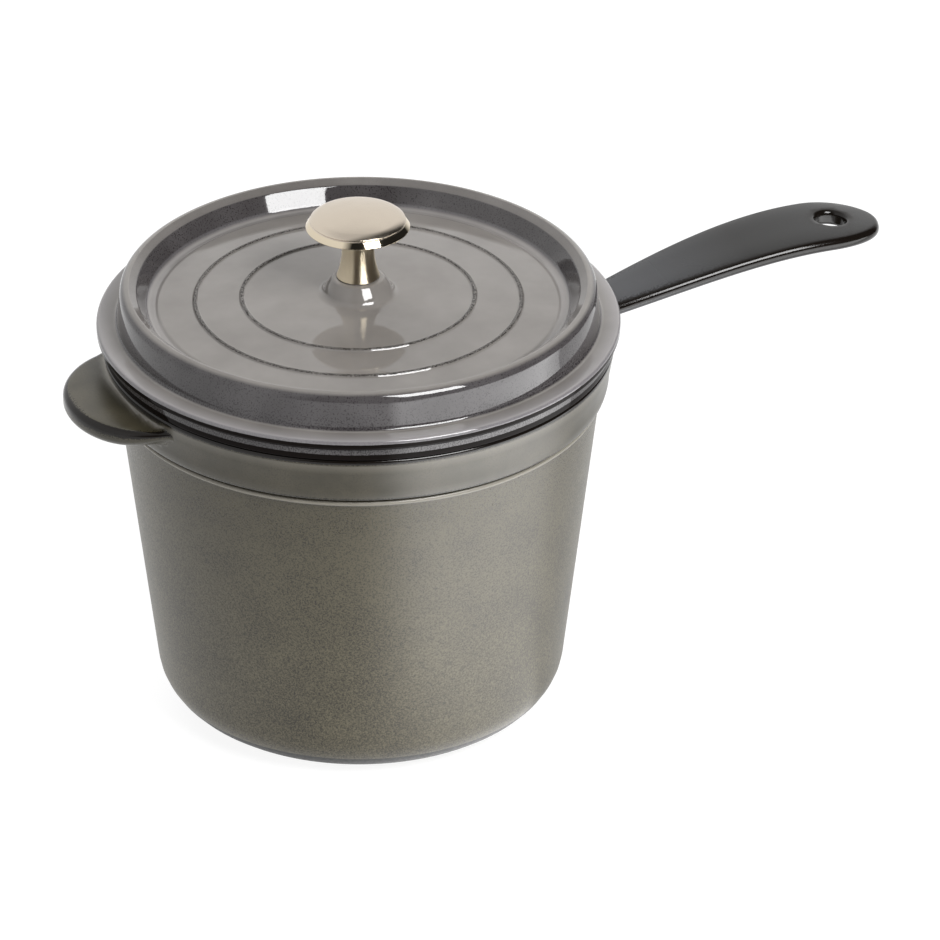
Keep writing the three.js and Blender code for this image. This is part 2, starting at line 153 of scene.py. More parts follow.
bead_foot = BEAD_HEIGHT - BEAD
bead_top = BEAD_HEIGHT + BEAD
bead_radius = wall_radius(BEAD_HEIGHT) + BEAD
pot_corners = [
    (0, 0, 0, 0),
    (wall_radius(0), 0, BASE_CUT, 0),
    # The bead, with a painted highlight along it, and painted shade at its foot and in the groove above it
    (wall_radius(bead_foot), bead_foot - 0.2, 0.5, 0.3),
    (bead_radius, bead_foot + 0.3, 0.55, -1),
    (bead_radius, bead_top - 0.5, 0.55, -1),
    (wall_radius(bead_top) - 0.2, bead_top + 0.2, 0.3, 0.5),
    # The collar rolls out over the groove and leans on to the rim. Its underside has painted shade, its lower edge
    # runs thin, and a painted highlight lies below the rim
    (WALL_TOP_RADIUS - 0.1, COLLAR_FOOT - 0.1, 0.2, 0.8),
    (WALL_TOP_RADIUS + 2.1, COLLAR_FOOT + 0.5, 1.0, 0.6),
    (COLLAR_RADIUS - 0.35, COLLAR_FOOT + 3.4, 1.4, 0),
    (COLLAR_RADIUS, COLLAR_TOP_ROLL, 2.0, 0),
    (collar_radius(PAINTED_HIGHLIGHT_FOOT), PAINTED_HIGHLIGHT_FOOT, 0, 0),
    (collar_radius(PAINTED_HIGHLIGHT_TOP), PAINTED_HIGHLIGHT_TOP, 0, -0.35),
    (RIM_RADIUS, RIM_HEIGHT, RIM_ROUND, 1),
    (MOUTH_RADIUS, RIM_HEIGHT, RIM_ROUND, 1),
    # The inside
    (wall_radius(COLLAR_FOOT) - WALL, COLLAR_FOOT, MOUTH_BLEND, 0),
    (wall_radius(FLOOR) - WALL, FLOOR, BASE_CUT - WALL, 0),
    (0, FLOOR, 0, 0),
]

pot = bmesh.new()
draw_profile(pot, pot_corners)
turn(pot, POT_STEPS)
pan = make_object(pot, "pan_casting")

# %% [markdown]
# ## The handle and the lug
# Both grow out of the collar as flat tongues with rounded edges. A loft of sections would pinch at the round ends, so
# each tongue is drawn as its outline from above, extruded to its thickness, and its edges are bevelled. Bisecting it
# into strips then lets it bend: the handle rises and dips along a cubic curve, and both spread into a fillet where
# they meet the collar. The lug's straight root would stand into the round mouth, so a core trims it inside the wall.

# %% A tongue from its outline
FILLET = 4.5
FILLET_STEPS = 8
END_STEPS = 22
END_STOP = 0.6
STRIP = 3.0
ROOT = 92.5
BARE_ARC_TOP = 0.02
BARE_ARC_FOOT = 0.9


def fillet_at(reach, size=FILLET):
    """How far a tongue spreads at a distance from the axis, as a round fillet that runs into the collar."""
    past = min(max((reach - COLLAR_RADIUS - 1) / FILLET, 0), 1)
    return size * (1 - math.sqrt(1 - (1 - past) ** 2))


def stations(shoulder, tip, shank_steps):
    """Distances from the axis at which the outline has points: dense in the fillet and in the rounded end."""
    start = COLLAR_RADIUS + 1
    reaches = [ROOT]
    for step in range(FILLET_STEPS + 1):
        reaches.append(start + FILLET * (1 - math.cos(step / FILLET_STEPS * math.pi / 2)))
    shank = reaches[-1]
    first = max(shank, shoulder)
    for step in range(1, shank_steps):
        reaches.append(shank + (first - shank) * step / shank_steps)
    for step in range(END_STEPS + 1):
        share = math.sin(step / (END_STEPS + END_STOP) * math.pi / 2)
        if step or shank_steps:
            reaches.append(first + (tip - first) * share)
    return reaches


def outline(bm, reaches, half_width):
    """A flat face with the given half width at each distance from the axis."""
    bm.verts.layers.float.new(THIN_AND_PAINTED)
    columns = len(reaches) - 1
    bmesh.ops.create_grid(bm, x_segments=columns, y_segments=1, size=1)
    for vert in bm.verts:
        reach = reaches[round((vert.co.x + 1) / 2 * columns)]
        side = vert.co.y * half_width(reach)
        vert.co = (math.sqrt(reach ** 2 - side ** 2), side, 0)
    return bmesh.ops.dissolve_faces(bm, faces=bm.faces[:])["region"][0]


def thicken(bm, face, thickness, top_round, belly_round):
    """Extrudes an outline downwards and rounds its edges. The ground coat is left to show on the top edge's arc."""
    layer = bm.verts.layers.float[THIN_AND_PAINTED]
    lower = bmesh.ops.extrude_face_region(bm, geom=[face])["geom"]
    moved = [item for item in lower if isinstance(item, bmesh.types.BMVert)]
    bmesh.ops.translate(bm, vec=(0, 0, -thickness), verts=moved)
    bmesh.ops.recalc_face_normals(bm, faces=bm.faces)
    for height, size in ((0, top_round), (-thickness, belly_round)):
        edges = [edge for edge in bm.edges if all(abs(vert.co.z - height) < MERGE for vert in edge.verts)]
        arcs = bmesh.ops.bevel(bm, geom=edges, offset=size, segments=ROUND_SEGMENTS, profile=0.5, affect="EDGES",
                               material=-1)["verts"]
        for vert in arcs:
            if height == 0 and -size * BARE_ARC_FOOT < vert.co.z < -size * BARE_ARC_TOP:
                vert[layer] = 1


def cut_strips(bm, normal, first, last, pitch):
    """Cuts a tongue across at even steps, so that it can bend."""
    place = first
    while place < last:
        bmesh.ops.bisect_plane(bm, geom=bm.verts[:] + bm.edges[:] + bm.faces[:],
                               plane_co=Vector(normal) * place, plane_no=normal)
        place += pitch


# %% A tongue bent to its height
CROWN_POWER = 4
THIN_MARGIN = 4.5
# Painted shade on a tongue's lower half, from its least share up to full along the handle
PAINTED_SHADE_START = 115.0
PAINTED_SHADE_LENGTH = 70.0
PAINTED_SHADE_LEAST = 0.2
LUG_HALF = 35.4
TAPER_POWER = 6


def bend_tongue(bm, thickness, tip, top_at, half_at, crown, top_fillet, belly_fillet, taper=0):
    """Lifts a flat tongue to its height, crowns its top, spreads its root, thins its edges' enamel and paints shade on
    its lower half.

    A taper lifts the belly at the lug's two ends.
    """
    layer = bm.verts.layers.float[THIN_AND_PAINTED]
    for vert in bm.verts:
        reach = math.hypot(vert.co.x, vert.co.y)
        upper = 1 + vert.co.z / thickness
        half = max(half_at(reach), MERGE)
        side = min(abs(vert.co.y) / half, 1)
        margin = min(half - abs(vert.co.y), tip - reach)
        # The lower half of a tongue is painted darker towards its belly and towards the handle's end: painted shade
        painted_shade_share = min(max((reach - PAINTED_SHADE_START) / PAINTED_SHADE_LENGTH, PAINTED_SHADE_LEAST), 1)
        thin_and_painted = max(1 - margin / THIN_MARGIN, 0) if upper > 0.5 else (1 - upper) * painted_shade_share
        vert[layer] = max(vert[layer], thin_and_painted)
        spread = upper * fillet_at(reach, top_fillet) - (1 - upper) * fillet_at(reach, belly_fillet)
        ends = min(abs(vert.co.y) / LUG_HALF, 1) ** TAPER_POWER
        vert.co.z += top_at(reach) + spread - crown * upper * side ** CROWN_POWER + (1 - upper) * taper * ends


# %% The handle
HANDLE_LENGTH = 119.5
HANDLE_TIP = RIM_RADIUS + HANDLE_LENGTH
HANDLE_ROUND = 25.0
HANDLE_SHOULDER = HANDLE_TIP - HANDLE_ROUND
HANDLE_ROOT_TOP = RIM_HEIGHT - 2.4
HANDLE_RISE = 12.2
ROOT_SLOPE = math.tan(math.radians(13.8))
TIP_SLOPE = math.tan(math.radians(-13.5))
HANDLE_ROOT_HALF = 9.8
HANDLE_END_HALF = 17.8
HANDLE_THICKNESS = 6.5
HANDLE_EDGE_ROUND = 2.2
HANDLE_BELLY_ROUND = 4.0
HANDLE_CROWN = 0.9
HANDLE_TOP_FILLET = 0.9
SHANK_STEPS = 30


def handle_top(reach):
    """Height of the handle's top: a cubic set by its ends and its slopes there."""
    share = (reach - RIM_RADIUS) / HANDLE_LENGTH
    root_pull = ROOT_SLOPE * HANDLE_LENGTH
    tip_pull = TIP_SLOPE * HANDLE_LENGTH
    square = 3 * HANDLE_RISE - 2 * root_pull - tip_pull
    cube = root_pull + tip_pull - 2 * HANDLE_RISE
    return HANDLE_ROOT_TOP + root_pull * share + square * share ** 2 + cube * share ** 3


def handle_half(reach):
    """Half the handle's width: it widens fast at first, then eases, and ends in half an ellipse."""
    share = min(max((reach - RIM_RADIUS) / (HANDLE_SHOULDER - RIM_RADIUS), 0), 1)
    half = HANDLE_ROOT_HALF + (HANDLE_END_HALF - HANDLE_ROOT_HALF) * (1 - (1 - share) ** 2)
    past = max((reach - HANDLE_SHOULDER) / HANDLE_ROUND, 0)
    return half * math.sqrt(1 - past ** 2) + fillet_at(reach)


handle = bmesh.new()
handle_face = outline(handle, stations(HANDLE_SHOULDER, HANDLE_TIP, SHANK_STEPS), handle_half)
thicken(handle, handle_face, HANDLE_THICKNESS, HANDLE_EDGE_ROUND, HANDLE_BELLY_ROUND)
cut_strips(handle, (1, 0, 0), COLLAR_RADIUS, HANDLE_TIP - STRIP, STRIP)
cut_strips(handle, (0, 1, 0), -HANDLE_END_HALF + STRIP, HANDLE_END_HALF - 1, STRIP)
bend_tongue(handle, HANDLE_THICKNESS, HANDLE_TIP, handle_top, handle_half, HANDLE_CROWN, HANDLE_TOP_FILLET,
            FILLET)
bmesh.ops.recalc_face_normals(handle, faces=handle.faces)
handle_piece = make_object(handle, "handle")

# %% The hang hole's cutter
HOLE_RADIUS = 6.0
HOLE_ROUND = 2.0
# Just under the full rounding, which would use up the whole step
HOLE_CUT = HOLE_ROUND * 0.98
HOLE_REACH = HANDLE_TIP - 19.7
HOLE_STEPS = 64
CUTTER_PAST = 6
SLOPE_STEP = 0.5

hole_mouth = HOLE_RADIUS + HOLE_ROUND
hole_corners = [
    (0, -HANDLE_THICKNESS - CUTTER_PAST, 0, 0),
    (hole_mouth, -HANDLE_THICKNESS - CUTTER_PAST, 0, 0),
    (hole_mouth, -HANDLE_THICKNESS, 0, 0),
    (HOLE_RADIUS, -HANDLE_THICKNESS, HOLE_CUT, 1),
    (HOLE_RADIUS, 0, HOLE_CUT, 1),
    (hole_mouth, 0, 0, 0),
    (hole_mouth, CUTTER_PAST, 0, 0),
    (0, CUTTER_PAST, 0, 0),
]
spool = bmesh.new()
draw_profile(spool, hole_corners)
turn(spool, HOLE_STEPS)
rise = handle_top(HOLE_REACH + SLOPE_STEP) - handle_top(HOLE_REACH - SLOPE_STEP)
tilt = Matrix.Rotation(-math.atan2(rise, 2 * SLOPE_STEP), 4, "Y")
on_handle_top = Matrix.Translation((HOLE_REACH, 0, handle_top(HOLE_REACH)))
bmesh.ops.transform(spool, matrix=on_handle_top @ tilt, verts=spool.verts)
hole_cutter = make_object(spool, "hang_hole_cutter")

# %% The helper lug
LUG_TIP = RIM_RADIUS + 19.8
LUG_LENGTH = 22.8
LUG_TOP = RIM_HEIGHT - 4.6
LUG_THICKNESS = 8.4
LUG_EDGE_ROUND = 2.4
LUG_BELLY_ROUND = 4.0
LUG_CROWN = 0.4
LUG_SIDE_FILLET = 1.5
LUG_TOP_FILLET = 1.0
LUG_BELLY_FILLET = 1.2
LUG_TAPER = 5.0


def lug_half(reach):
    """Half the lug's width: half an ellipse."""
    past = max((reach - (LUG_TIP - LUG_LENGTH)) / LUG_LENGTH, 0)
    return LUG_HALF * math.sqrt(1 - past ** 2) + fillet_at(reach, LUG_SIDE_FILLET)


lug = bmesh.new()
lug_face = outline(lug, stations(COLLAR_RADIUS + 1, LUG_TIP, 0), lug_half)
thicken(lug, lug_face, LUG_THICKNESS, LUG_EDGE_ROUND, LUG_BELLY_ROUND)
cut_strips(lug, (0, 1, 0), -LUG_HALF, LUG_HALF + 1, STRIP)
cut_strips(lug, (1, 0, 0), COLLAR_RADIUS - 12, LUG_TIP, STRIP / 2)
bend_tongue(lug, LUG_THICKNESS, LUG_TIP, lambda reach: LUG_TOP, lug_half, LUG_CROWN, LUG_TOP_FILLET,
            LUG_BELLY_FILLET, LUG_TAPER)
bmesh.ops.rotate(lug, cent=(0, 0, 0), matrix=Matrix.Rotation(math.pi, 3, "Z"), verts=lug.verts)
bmesh.ops.recalc_face_normals(lug, faces=lug.faces)
lug_piece = make_object(lug, "lug")

# %% One casting
LUG_ROOT_RADIUS = 92.0
CORE_STEPS = 180


def combine(target, operand, operation):
    """Joins or cuts two closed meshes exactly, and keeps only the result."""
    modifier = target.modifiers.new(operation.lower(), "BOOLEAN")
    modifier.object = operand
    modifier.operation = operation
    modifier.solver = "MANIFOLD"
    depsgraph = bpy.context.evaluated_depsgraph_get()
    result = bpy.data.meshes.new_from_object(target.evaluated_get(depsgraph), preserve_all_data_layers=True,
                                             depsgraph=depsgraph)
    target.modifiers.clear()
    target.data = result
    bpy.data.objects.remove(operand)


core = bmesh.new()
bmesh.ops.create_cone(core, cap_ends=True, segments=CORE_STEPS, radius1=LUG_ROOT_RADIUS, radius2=LUG_ROOT_RADIUS,
                      depth=RIM_HEIGHT, matrix=Matrix.Translation((0, 0, RIM_HEIGHT)))
combine(lug_piece, make_object(core, "lug_root_cutter"), "DIFFERENCE")
combine(handle_piece, hole_cutter, "DIFFERENCE")
combine(pan, handle_piece, "UNION")
combine(pan, lug_piece, "UNION")
print("pan", len(pan.data.polygons), "faces")

# %% Thin enamel round the hang hole, a painted highlight along the lug's crease, painted shade above the lug
THIN_HOLE_MARGIN = 4.0
HALF_THIN = 0.5
CREASE_REACH = 2.4
CREASE_HALF = 31.0
CREASE_HEIGHT = 1.4
OVER_LUG_SHADE = 0.7

thinness = pan.data.attributes[THIN_AND_PAINTED].data
for vert in pan.data.vertices:
    place = vert.co / MM
    from_hole = math.hypot(place.x - HOLE_REACH, place.y) - HOLE_RADIUS
    if place.z > COLLAR_FOOT and from_hole < THIN_HOLE_MARGIN:
        thinness[vert.index].value = 1 if from_hole < THIN_HOLE_MARGIN / 2 else HALF_THIN
    off_collar = math.hypot(place.x, place.y) - collar_radius(place.z)
    by_lug = place.x < 0 and abs(place.y) < CREASE_HALF and abs(off_collar) < CREASE_REACH
    # Along the lug's crease a painted highlight; on the collar just above the lug, painted shade
    if by_lug and abs(place.z - LUG_TOP) < CREASE_HEIGHT:
        thinness[vert.index].value = abs(off_collar) / CREASE_REACH - 1
    elif by_lug and LUG_TOP < place.z < RIM_HEIGHT - RIM_ROUND:
        thinness[vert.index].value = OVER_LUG_SHADE
print("thin_and_painted", sum(item.value > 0 for item in thinness), "points, pooled", sum(item.value < 0 for item in thinness))

# %% [markdown]
# ## The lid
# The lid is a heavy casting: a lip on the pot's rim, a flange, a raised rim round a shallow dish with a trough round
# its domed floor, two ring ridges and a boss for the knob. A ring under it drops into the mouth, and drip points lead
# the condensed water back. The profile is drawn over a flat floor, and one formula then bends all of it to the dome.

# %% The lid's profile
SEAT = 151.1
CROWN = 170.65
CROWN_BEND = 616.0
DISH_FLOOR_RADIUS = 75.0
PLATE = 4.2
SCREW_HOLE = 3.3
RING_RADII = (62.2, 44.4)
RING_HEIGHT = 0.8
RING_WIDTH = 2.2
RING_TOP_SHARE = 0.4
RING_THIN = 0.55
# Painted shade at the foot of each ring ridge
RING_FOOT_SHADE = 0.2
LOCATOR_INSIDE = 85.2
LOCATOR_OUTSIDE = 89.2
LOCATOR_DROP = -6.0
LIP_RADIUS = 98.0
FLANGE_RADIUS = 100.0
# A painted highlight on the flange's shoulder
FLANGE_PAINTED_HIGHLIGHT = -0.7
LID_RIM_RISE = 23.9
DISH_EDGE_RADIUS = 84.5
DISH_EDGE_RISE = 21.9
DISH_FOOT_RADIUS = 80.2
TROUGH_DEPTH = 0.3
# A painted highlight in the trough
TROUGH_PAINTED_HIGHLIGHT = -0.25
BOSS_RADIUS = 9.8
BOSS_SHOULDER_RADIUS = 12.4
BOSS_SHOULDER = 3.1
BOSS_FOOT_RADIUS = 13.8
BOSS_TOP = 177.55
LID_STEPS = 160


def dome_sag(radius):
    """How far the domed floor lies below its middle."""
    return min(radius, DISH_FLOOR_RADIUS) ** 2 / (2 * CROWN_BEND)


EDGE_SAG = dome_sag(DISH_FLOOR_RADIUS)


def over_seat(radius, rise, cut, thin_and_painted=0):
    """A corner outside the domed floor, by its rise over the seat; the dome's sag is taken off again below."""
    return radius, SEAT + rise + EDGE_SAG, cut, thin_and_painted


def ridge(radius):
    """The four corners of a ring ridge, whose enamel runs thinner towards its top, with painted shade at its foot."""
    foot = RING_WIDTH / 2
    top = foot * RING_TOP_SHARE
    return [
        (radius + foot, CROWN, 0.2, RING_FOOT_SHADE),
        (radius + top, CROWN + RING_HEIGHT, 0.3, RING_THIN),
        (radius - top, CROWN + RING_HEIGHT, 0.3, RING_THIN),
        (radius - foot, CROWN, 0.2, RING_FOOT_SHADE),
    ]


lid_corners = [
    (SCREW_HOLE, CROWN - PLATE, 0, 0),
    # The locating ring underneath
    (LOCATOR_INSIDE, CROWN - PLATE, 7.0, 0),
    over_seat(LOCATOR_INSIDE, LOCATOR_DROP, 1.9),
    over_seat(LOCATOR_OUTSIDE, LOCATOR_DROP, 1.9),
    over_seat(LOCATOR_OUTSIDE, 0, 0.4),
    # The lip on the pot's rim, with a thin band above and below
    over_seat(LIP_RADIUS, 0, 0.5, 1),
    over_seat(LIP_RADIUS, 2.2, 0, 1),
    over_seat(LIP_RADIUS, 2.6, 0),
    over_seat(LIP_RADIUS, 4.3, 0),
    over_seat(LIP_RADIUS, 4.8, 0.2, 1),
    # The flange, with a painted highlight on its shoulder
    over_seat(FLANGE_RADIUS, 5.9, 0.5, 1),
    over_seat(FLANGE_RADIUS, 7.6, 0, 1),
    over_seat(FLANGE_RADIUS, 9.2, 1.4, FLANGE_PAINTED_HIGHLIGHT),
    # The raised rim, which slopes inwards to the dish's edge
    over_seat(92.2, 9.3, 1.6),
    over_seat(90.6, LID_RIM_RISE, 3.3),
    over_seat(87.4, LID_RIM_RISE, 1.8),
    over_seat(DISH_EDGE_RADIUS, DISH_EDGE_RISE, 0.4),
    # The dish's wall and the trough round its floor, with a painted highlight in the trough
    (81.3, CROWN + 1.55, 0, 0),
    (DISH_FOOT_RADIUS, CROWN - TROUGH_DEPTH, 1.5, TROUGH_PAINTED_HIGHLIGHT),
    (77.4, CROWN - TROUGH_DEPTH, 0.3, TROUGH_PAINTED_HIGHLIGHT),
    (76.2, CROWN + 0.4, 0.6, 0),
    *ridge(RING_RADII[0]),
    *ridge(RING_RADII[1]),
    # The boss
    (BOSS_FOOT_RADIUS, CROWN, 2.2, 0),
    (BOSS_SHOULDER_RADIUS, CROWN + BOSS_SHOULDER, 1.2, 0),
    (BOSS_RADIUS, BOSS_TOP, 0.8, 0),
    (SCREW_HOLE, BOSS_TOP, 0, 0),
]
plate = bmesh.new()
draw_profile(plate, lid_corners, closed=True)
for vert in plate.verts:
    vert.co.z -= dome_sag(vert.co.x)
turn(plate, LID_STEPS)
lid = make_object(plate, "lid_casting")

# %% The drip points
DRIP_RADIUS = 2.2
DRIP_TIP = 0.9
DRIP_TIP_ROUND = DRIP_TIP * 0.6
DRIP_HEIGHT = 3.0
DRIP_ROWS = (27.5, 44.5, 61.5)
DRIP_PITCH = 26.0
DRIP_STEPS = 20

drips = bmesh.new()
for row in DRIP_ROWS:
    count = int(math.tau * row / DRIP_PITCH)
    depth = PLATE / 2 + DRIP_HEIGHT
    for step in range(count):
        angle = math.tau * step / count
        middle = CROWN - dome_sag(row) - PLATE / 2 - depth / 2
        place = Matrix.Translation((row * math.cos(angle), row * math.sin(angle), middle))
        bmesh.ops.create_cone(drips, cap_ends=True, segments=DRIP_STEPS, radius1=DRIP_TIP, radius2=DRIP_RADIUS,
                              depth=depth, matrix=place)
ends = [edge for edge in drips.edges if abs(edge.verts[0].co.z - edge.verts[1].co.z) < MERGE
        and edge.calc_length() < DRIP_TIP]
bmesh.ops.bevel(drips, geom=ends, offset=DRIP_TIP_ROUND, segments=3, profile=0.5, affect="EDGES", material=-1)
combine(lid, make_object(drips, "drip_points"), "UNION")
print("lid", len(lid.data.polygons), "faces")

# %% [markdown]
# ## The knob and its fastening
# The knob is turned from bar and plated: a satin domed top, a fine groove, a polished sloping band and a waisted stem
# that still shows the lathe's fine rings. The rings are real grooves here, made by pulling in every third point of the
# stem's profile, and they are coarser than a tool leaves them, so that they show.

# %% The knob
PIECE_GAP = 0.3
KNOB_FOOT = BOSS_TOP + PIECE_GAP
KNOB_TOP = KNOB_FOOT + 27.6
DOME_EDGE = KNOB_TOP - 2.5
BAND_TOP = KNOB_TOP - 4.2
BAND_FOOT = KNOB_TOP - 6.9
KNOB_RADIUS = 20.1
BAND_RADIUS = 18.4
DOME_RADIUS = 16.6
NECK_HALF = 0.3
NECK_DEPTH = 0.45
STEM_TOP_RADIUS = 5.7
STEM_WAIST_RADIUS = 6.4
STEM_WAIST = KNOB_FOOT + 4.8
STEM_FOOT_RADIUS = 8.3
UNDERSIDE = BAND_FOOT + 1.6
BLIND_HOLE = 2.8
BLIND_HOLE_TOP = KNOB_FOOT + 12.8
GROOVE_STEP = 0.28
GROOVE = 0.05
KNOB_STEPS = 128


def on_stem(vert):
    """Whether a point of the profile is on the stem's outside, clear of its two ends."""
    return KNOB_FOOT + 0.5 < vert.co.z < UNDERSIDE - 2 and vert.co.x > BLIND_HOLE + 1


knob_corners = [
    (0, BLIND_HOLE_TOP, 0, 0),
    (BLIND_HOLE, BLIND_HOLE_TOP - 0.8, 0, 0),
    (BLIND_HOLE, KNOB_FOOT, 0, 0),
    (STEM_FOOT_RADIUS, KNOB_FOOT, 0.25, 0),
    (STEM_WAIST_RADIUS, STEM_WAIST, 4.6, 0),
    (STEM_TOP_RADIUS, UNDERSIDE, 2.3, 0),
    (KNOB_RADIUS, BAND_FOOT, 0.6, 0),
    (BAND_RADIUS, BAND_TOP - NECK_HALF, 0.15, 0),
    (BAND_RADIUS - NECK_DEPTH, BAND_TOP, 0.1, 0),
    (BAND_RADIUS - 0.1, BAND_TOP + NECK_HALF, 0.3, 0),
    (DOME_RADIUS, DOME_EDGE, 1.4, 0),
    (DOME_RADIUS / 2, KNOB_TOP, 8.0, 0),
    (0, KNOB_TOP, 0, 0),
]
bar = bmesh.new()
draw_profile(bar, knob_corners)
for edge in [edge for edge in bar.edges if all(on_stem(vert) for vert in edge.verts)]:
    cuts = int(edge.calc_length() / GROOVE_STEP)
    if cuts:
        bmesh.ops.subdivide_edges(bar, edges=[edge], cuts=cuts)
stem_points = sorted((vert for vert in bar.verts if on_stem(vert)), key=lambda vert: vert.co.z)
for vert in stem_points[::3]:
    vert.co.x -= GROOVE
turn(bar, KNOB_STEPS)
knob = make_object(bar, "lid_knob")

# %% The screw and its washer
WASHER_TOP = CROWN - PLATE - PIECE_GAP
WASHER_RADIUS = 8.5
WASHER_THICKNESS = 1.2
HEAD_TOP = WASHER_TOP - WASHER_THICKNESS - PIECE_GAP
HEAD_RADIUS = 5.0
HEAD_FLAT_RADIUS = HEAD_RADIUS * 0.62
HEAD_HEIGHT = 3.2
SLOT_WIDTH = 1.2
SLOT_DEPTH = 1.4
SCREW_RADIUS = 2.5
SCREW_END = KNOB_FOOT + 12.0
SCREW_CHAMFER = 0.8
SMALL_STEPS = 64

rod = bmesh.new()
draw_profile(rod, [
    (0, HEAD_TOP - HEAD_HEIGHT, 0, 0),
    (HEAD_FLAT_RADIUS, HEAD_TOP - HEAD_HEIGHT, 1.6, 0),
    (HEAD_RADIUS, HEAD_TOP - 1.0, 0.5, 0),
    (HEAD_RADIUS, HEAD_TOP, 0.2, 0),
    (SCREW_RADIUS, HEAD_TOP, 0.2, 0),
    (SCREW_RADIUS, SCREW_END - SCREW_CHAMFER, 0, 0),
    (SCREW_RADIUS - SCREW_CHAMFER, SCREW_END, 0, 0),
    (0, SCREW_END, 0, 0),
])
turn(rod, SMALL_STEPS)
screw = make_object(rod, "lid_screw")
slot = bmesh.new()
bmesh.ops.create_cube(slot, size=1)
bmesh.ops.scale(slot, vec=(HEAD_RADIUS * 3, SLOT_WIDTH, SLOT_DEPTH * 2), verts=slot.verts)
bmesh.ops.translate(slot, vec=(0, 0, HEAD_TOP - HEAD_HEIGHT), verts=slot.verts)
combine(screw, make_object(slot, "screw_slot_cutter"), "DIFFERENCE")

ring = bmesh.new()
draw_profile(ring, [
    (BLIND_HOLE, WASHER_TOP - WASHER_THICKNESS, 0.15, 0),
    (WASHER_RADIUS, WASHER_TOP - WASHER_THICKNESS, 0.4, 0),
    (WASHER_RADIUS, WASHER_TOP, 0.2, 0),
    (BLIND_HOLE, WASHER_TOP, 0.15, 0),
], closed=True)
turn(ring, SMALL_STEPS)
washer = make_object(ring, "lid_washer")

# %% [markdown]
# ## Finishes
# Each finish is worked out from what the real surface is and how it was made. Colours are written as sRGB hex values
# and turned to the linear light that shaders add up. A grain's size is given in millimetres: Object coordinates are in
# metres, so the texture's scale is one over that size.

# %% Colours, grain sizes and nodes
def linear(colour):
    """An sRGB hex colour as the linear values that a shader takes."""
    parts = [int(colour[place:place + 2], 16) / 255 for place in (1, 3, 5)]
    return [part / 12.92 if part <= 0.04045 else ((part + 0.055) / 1.055) ** 2.4 for part in parts] + [1.0]


def per_metre(size):
    """The texture scale of a grain of this size in millimetres."""
    return 1 / (size * MM)


def add_node(tree, kind, links=None, **settings):
    """Adds one node, sets its fields, and links or sets its inputs by name or number."""
    node = tree.nodes.new("ShaderNode" + kind)
    for name, value in settings.items():
        setattr(node, name, value)
    for name, value in (links or {}).items():
        if isinstance(value, bpy.types.NodeSocket):
            tree.links.new(value, node.inputs[name])
        else:
            node.inputs[name].default_value = value
    return node


def new_material(name):
    """An empty material and its node tree."""
    material = bpy.data.materials.new(name)
    material.use_nodes = True
    material.node_tree.nodes.clear()
    return material, material.node_tree


# %% [markdown]
# ## The pan's enamel
# Enamel is powdered glass, sprayed on the iron and fused in a kiln. On the wall it is a warm grey with fine dark
# grains and a satin skin; on the collar and the lug it flows out smoother and glossier, and on the handle it is nearly
# black. It draws back from sharp edges, so the black ground coat shows there. Painted light is added to this colour: a
# paler, bluish grey on the handle's root is a painted reflection, pale lines on the bead, below the rim and along the
# lug's crease are painted highlights, and dark in the creases by the bead, above the lug and under the tongues is
# painted shade. A picture of the wall would slide at the seams, so the grains are noise in the object's own space, and
# the thin places, painted highlights and painted shade are the numbers on the mesh.

# %% Speckled enamel: its grains
# Vitreous enamel: a satin skin with fine grains, dark and glossy where it runs thinly, with painted highlights and
# painted shade.
GRAIN = 0.75
SPECK = 0.6
CLOUD = 18.0
CLUSTER = 0.4
# A Mix node's sockets by number: its factor, two colours and their mix, and two plain numbers
FACTOR, FIRST, SECOND, COLOUR_OUT, LOW, HIGH = 0, 6, 7, 2, 2, 3

pan_enamel, tree = new_material("speckled_grey_enamel")
place = add_node(tree, "TexCoord").outputs["Object"]
parts = add_node(tree, "SeparateXYZ", {0: place})
smooth_part = add_node(tree, "MapRange", {
    "Value": parts.outputs["Z"], "From Min": (COLLAR_FOOT - 6) * MM, "From Max": (COLLAR_FOOT + 3) * MM}).outputs[0]
grain = add_node(tree, "TexNoise", {"Vector": place, "Scale": per_metre(GRAIN), "Detail": 2.0, "Roughness": 0.7})
grain_amount = add_node(tree, "MapRange", {
    "Value": grain.outputs[0], "From Min": 0.36, "From Max": 0.64}).outputs[0]
fleck = add_node(tree, "TexNoise", {"Vector": place, "Scale": per_metre(SPECK), "Detail": 1.0})
cloud = add_node(tree, "TexNoise", {"Vector": place, "Scale": per_metre(CLOUD), "Detail": 3.0})
gathered = add_node(tree, "Math", {
    0: cloud.outputs[0], 1: CLUSTER, 2: fleck.outputs[0]}, operation="MULTIPLY_ADD").outputs[0]
specks = add_node(tree, "MapRange", {"Value": smooth_part, "To Min": 0.75, "To Max": 0.3}).outputs[0]
fleck_amount = add_node(tree, "MapRange", {
    "Value": gathered, "From Min": 0.74, "From Max": 0.86, "To Max": specks}).outputs[0]
shade = add_node(tree, "MapRange", {
    "Value": cloud.outputs[0], "From Min": 0.3, "From Max": 0.7, "To Max": 0.35}).outputs[0]
mottle = add_node(tree, "MapRange", {"Value": cloud.outputs[0], "From Min": 0.35, "From Max": 0.65}).outputs[0]
print(pan_enamel.name, "grains of", GRAIN, "mm, specks of", SPECK, "mm")

# %% Speckled enamel: the handle, painted reflection and highlights, and bare edges
RAGGED = 0.45

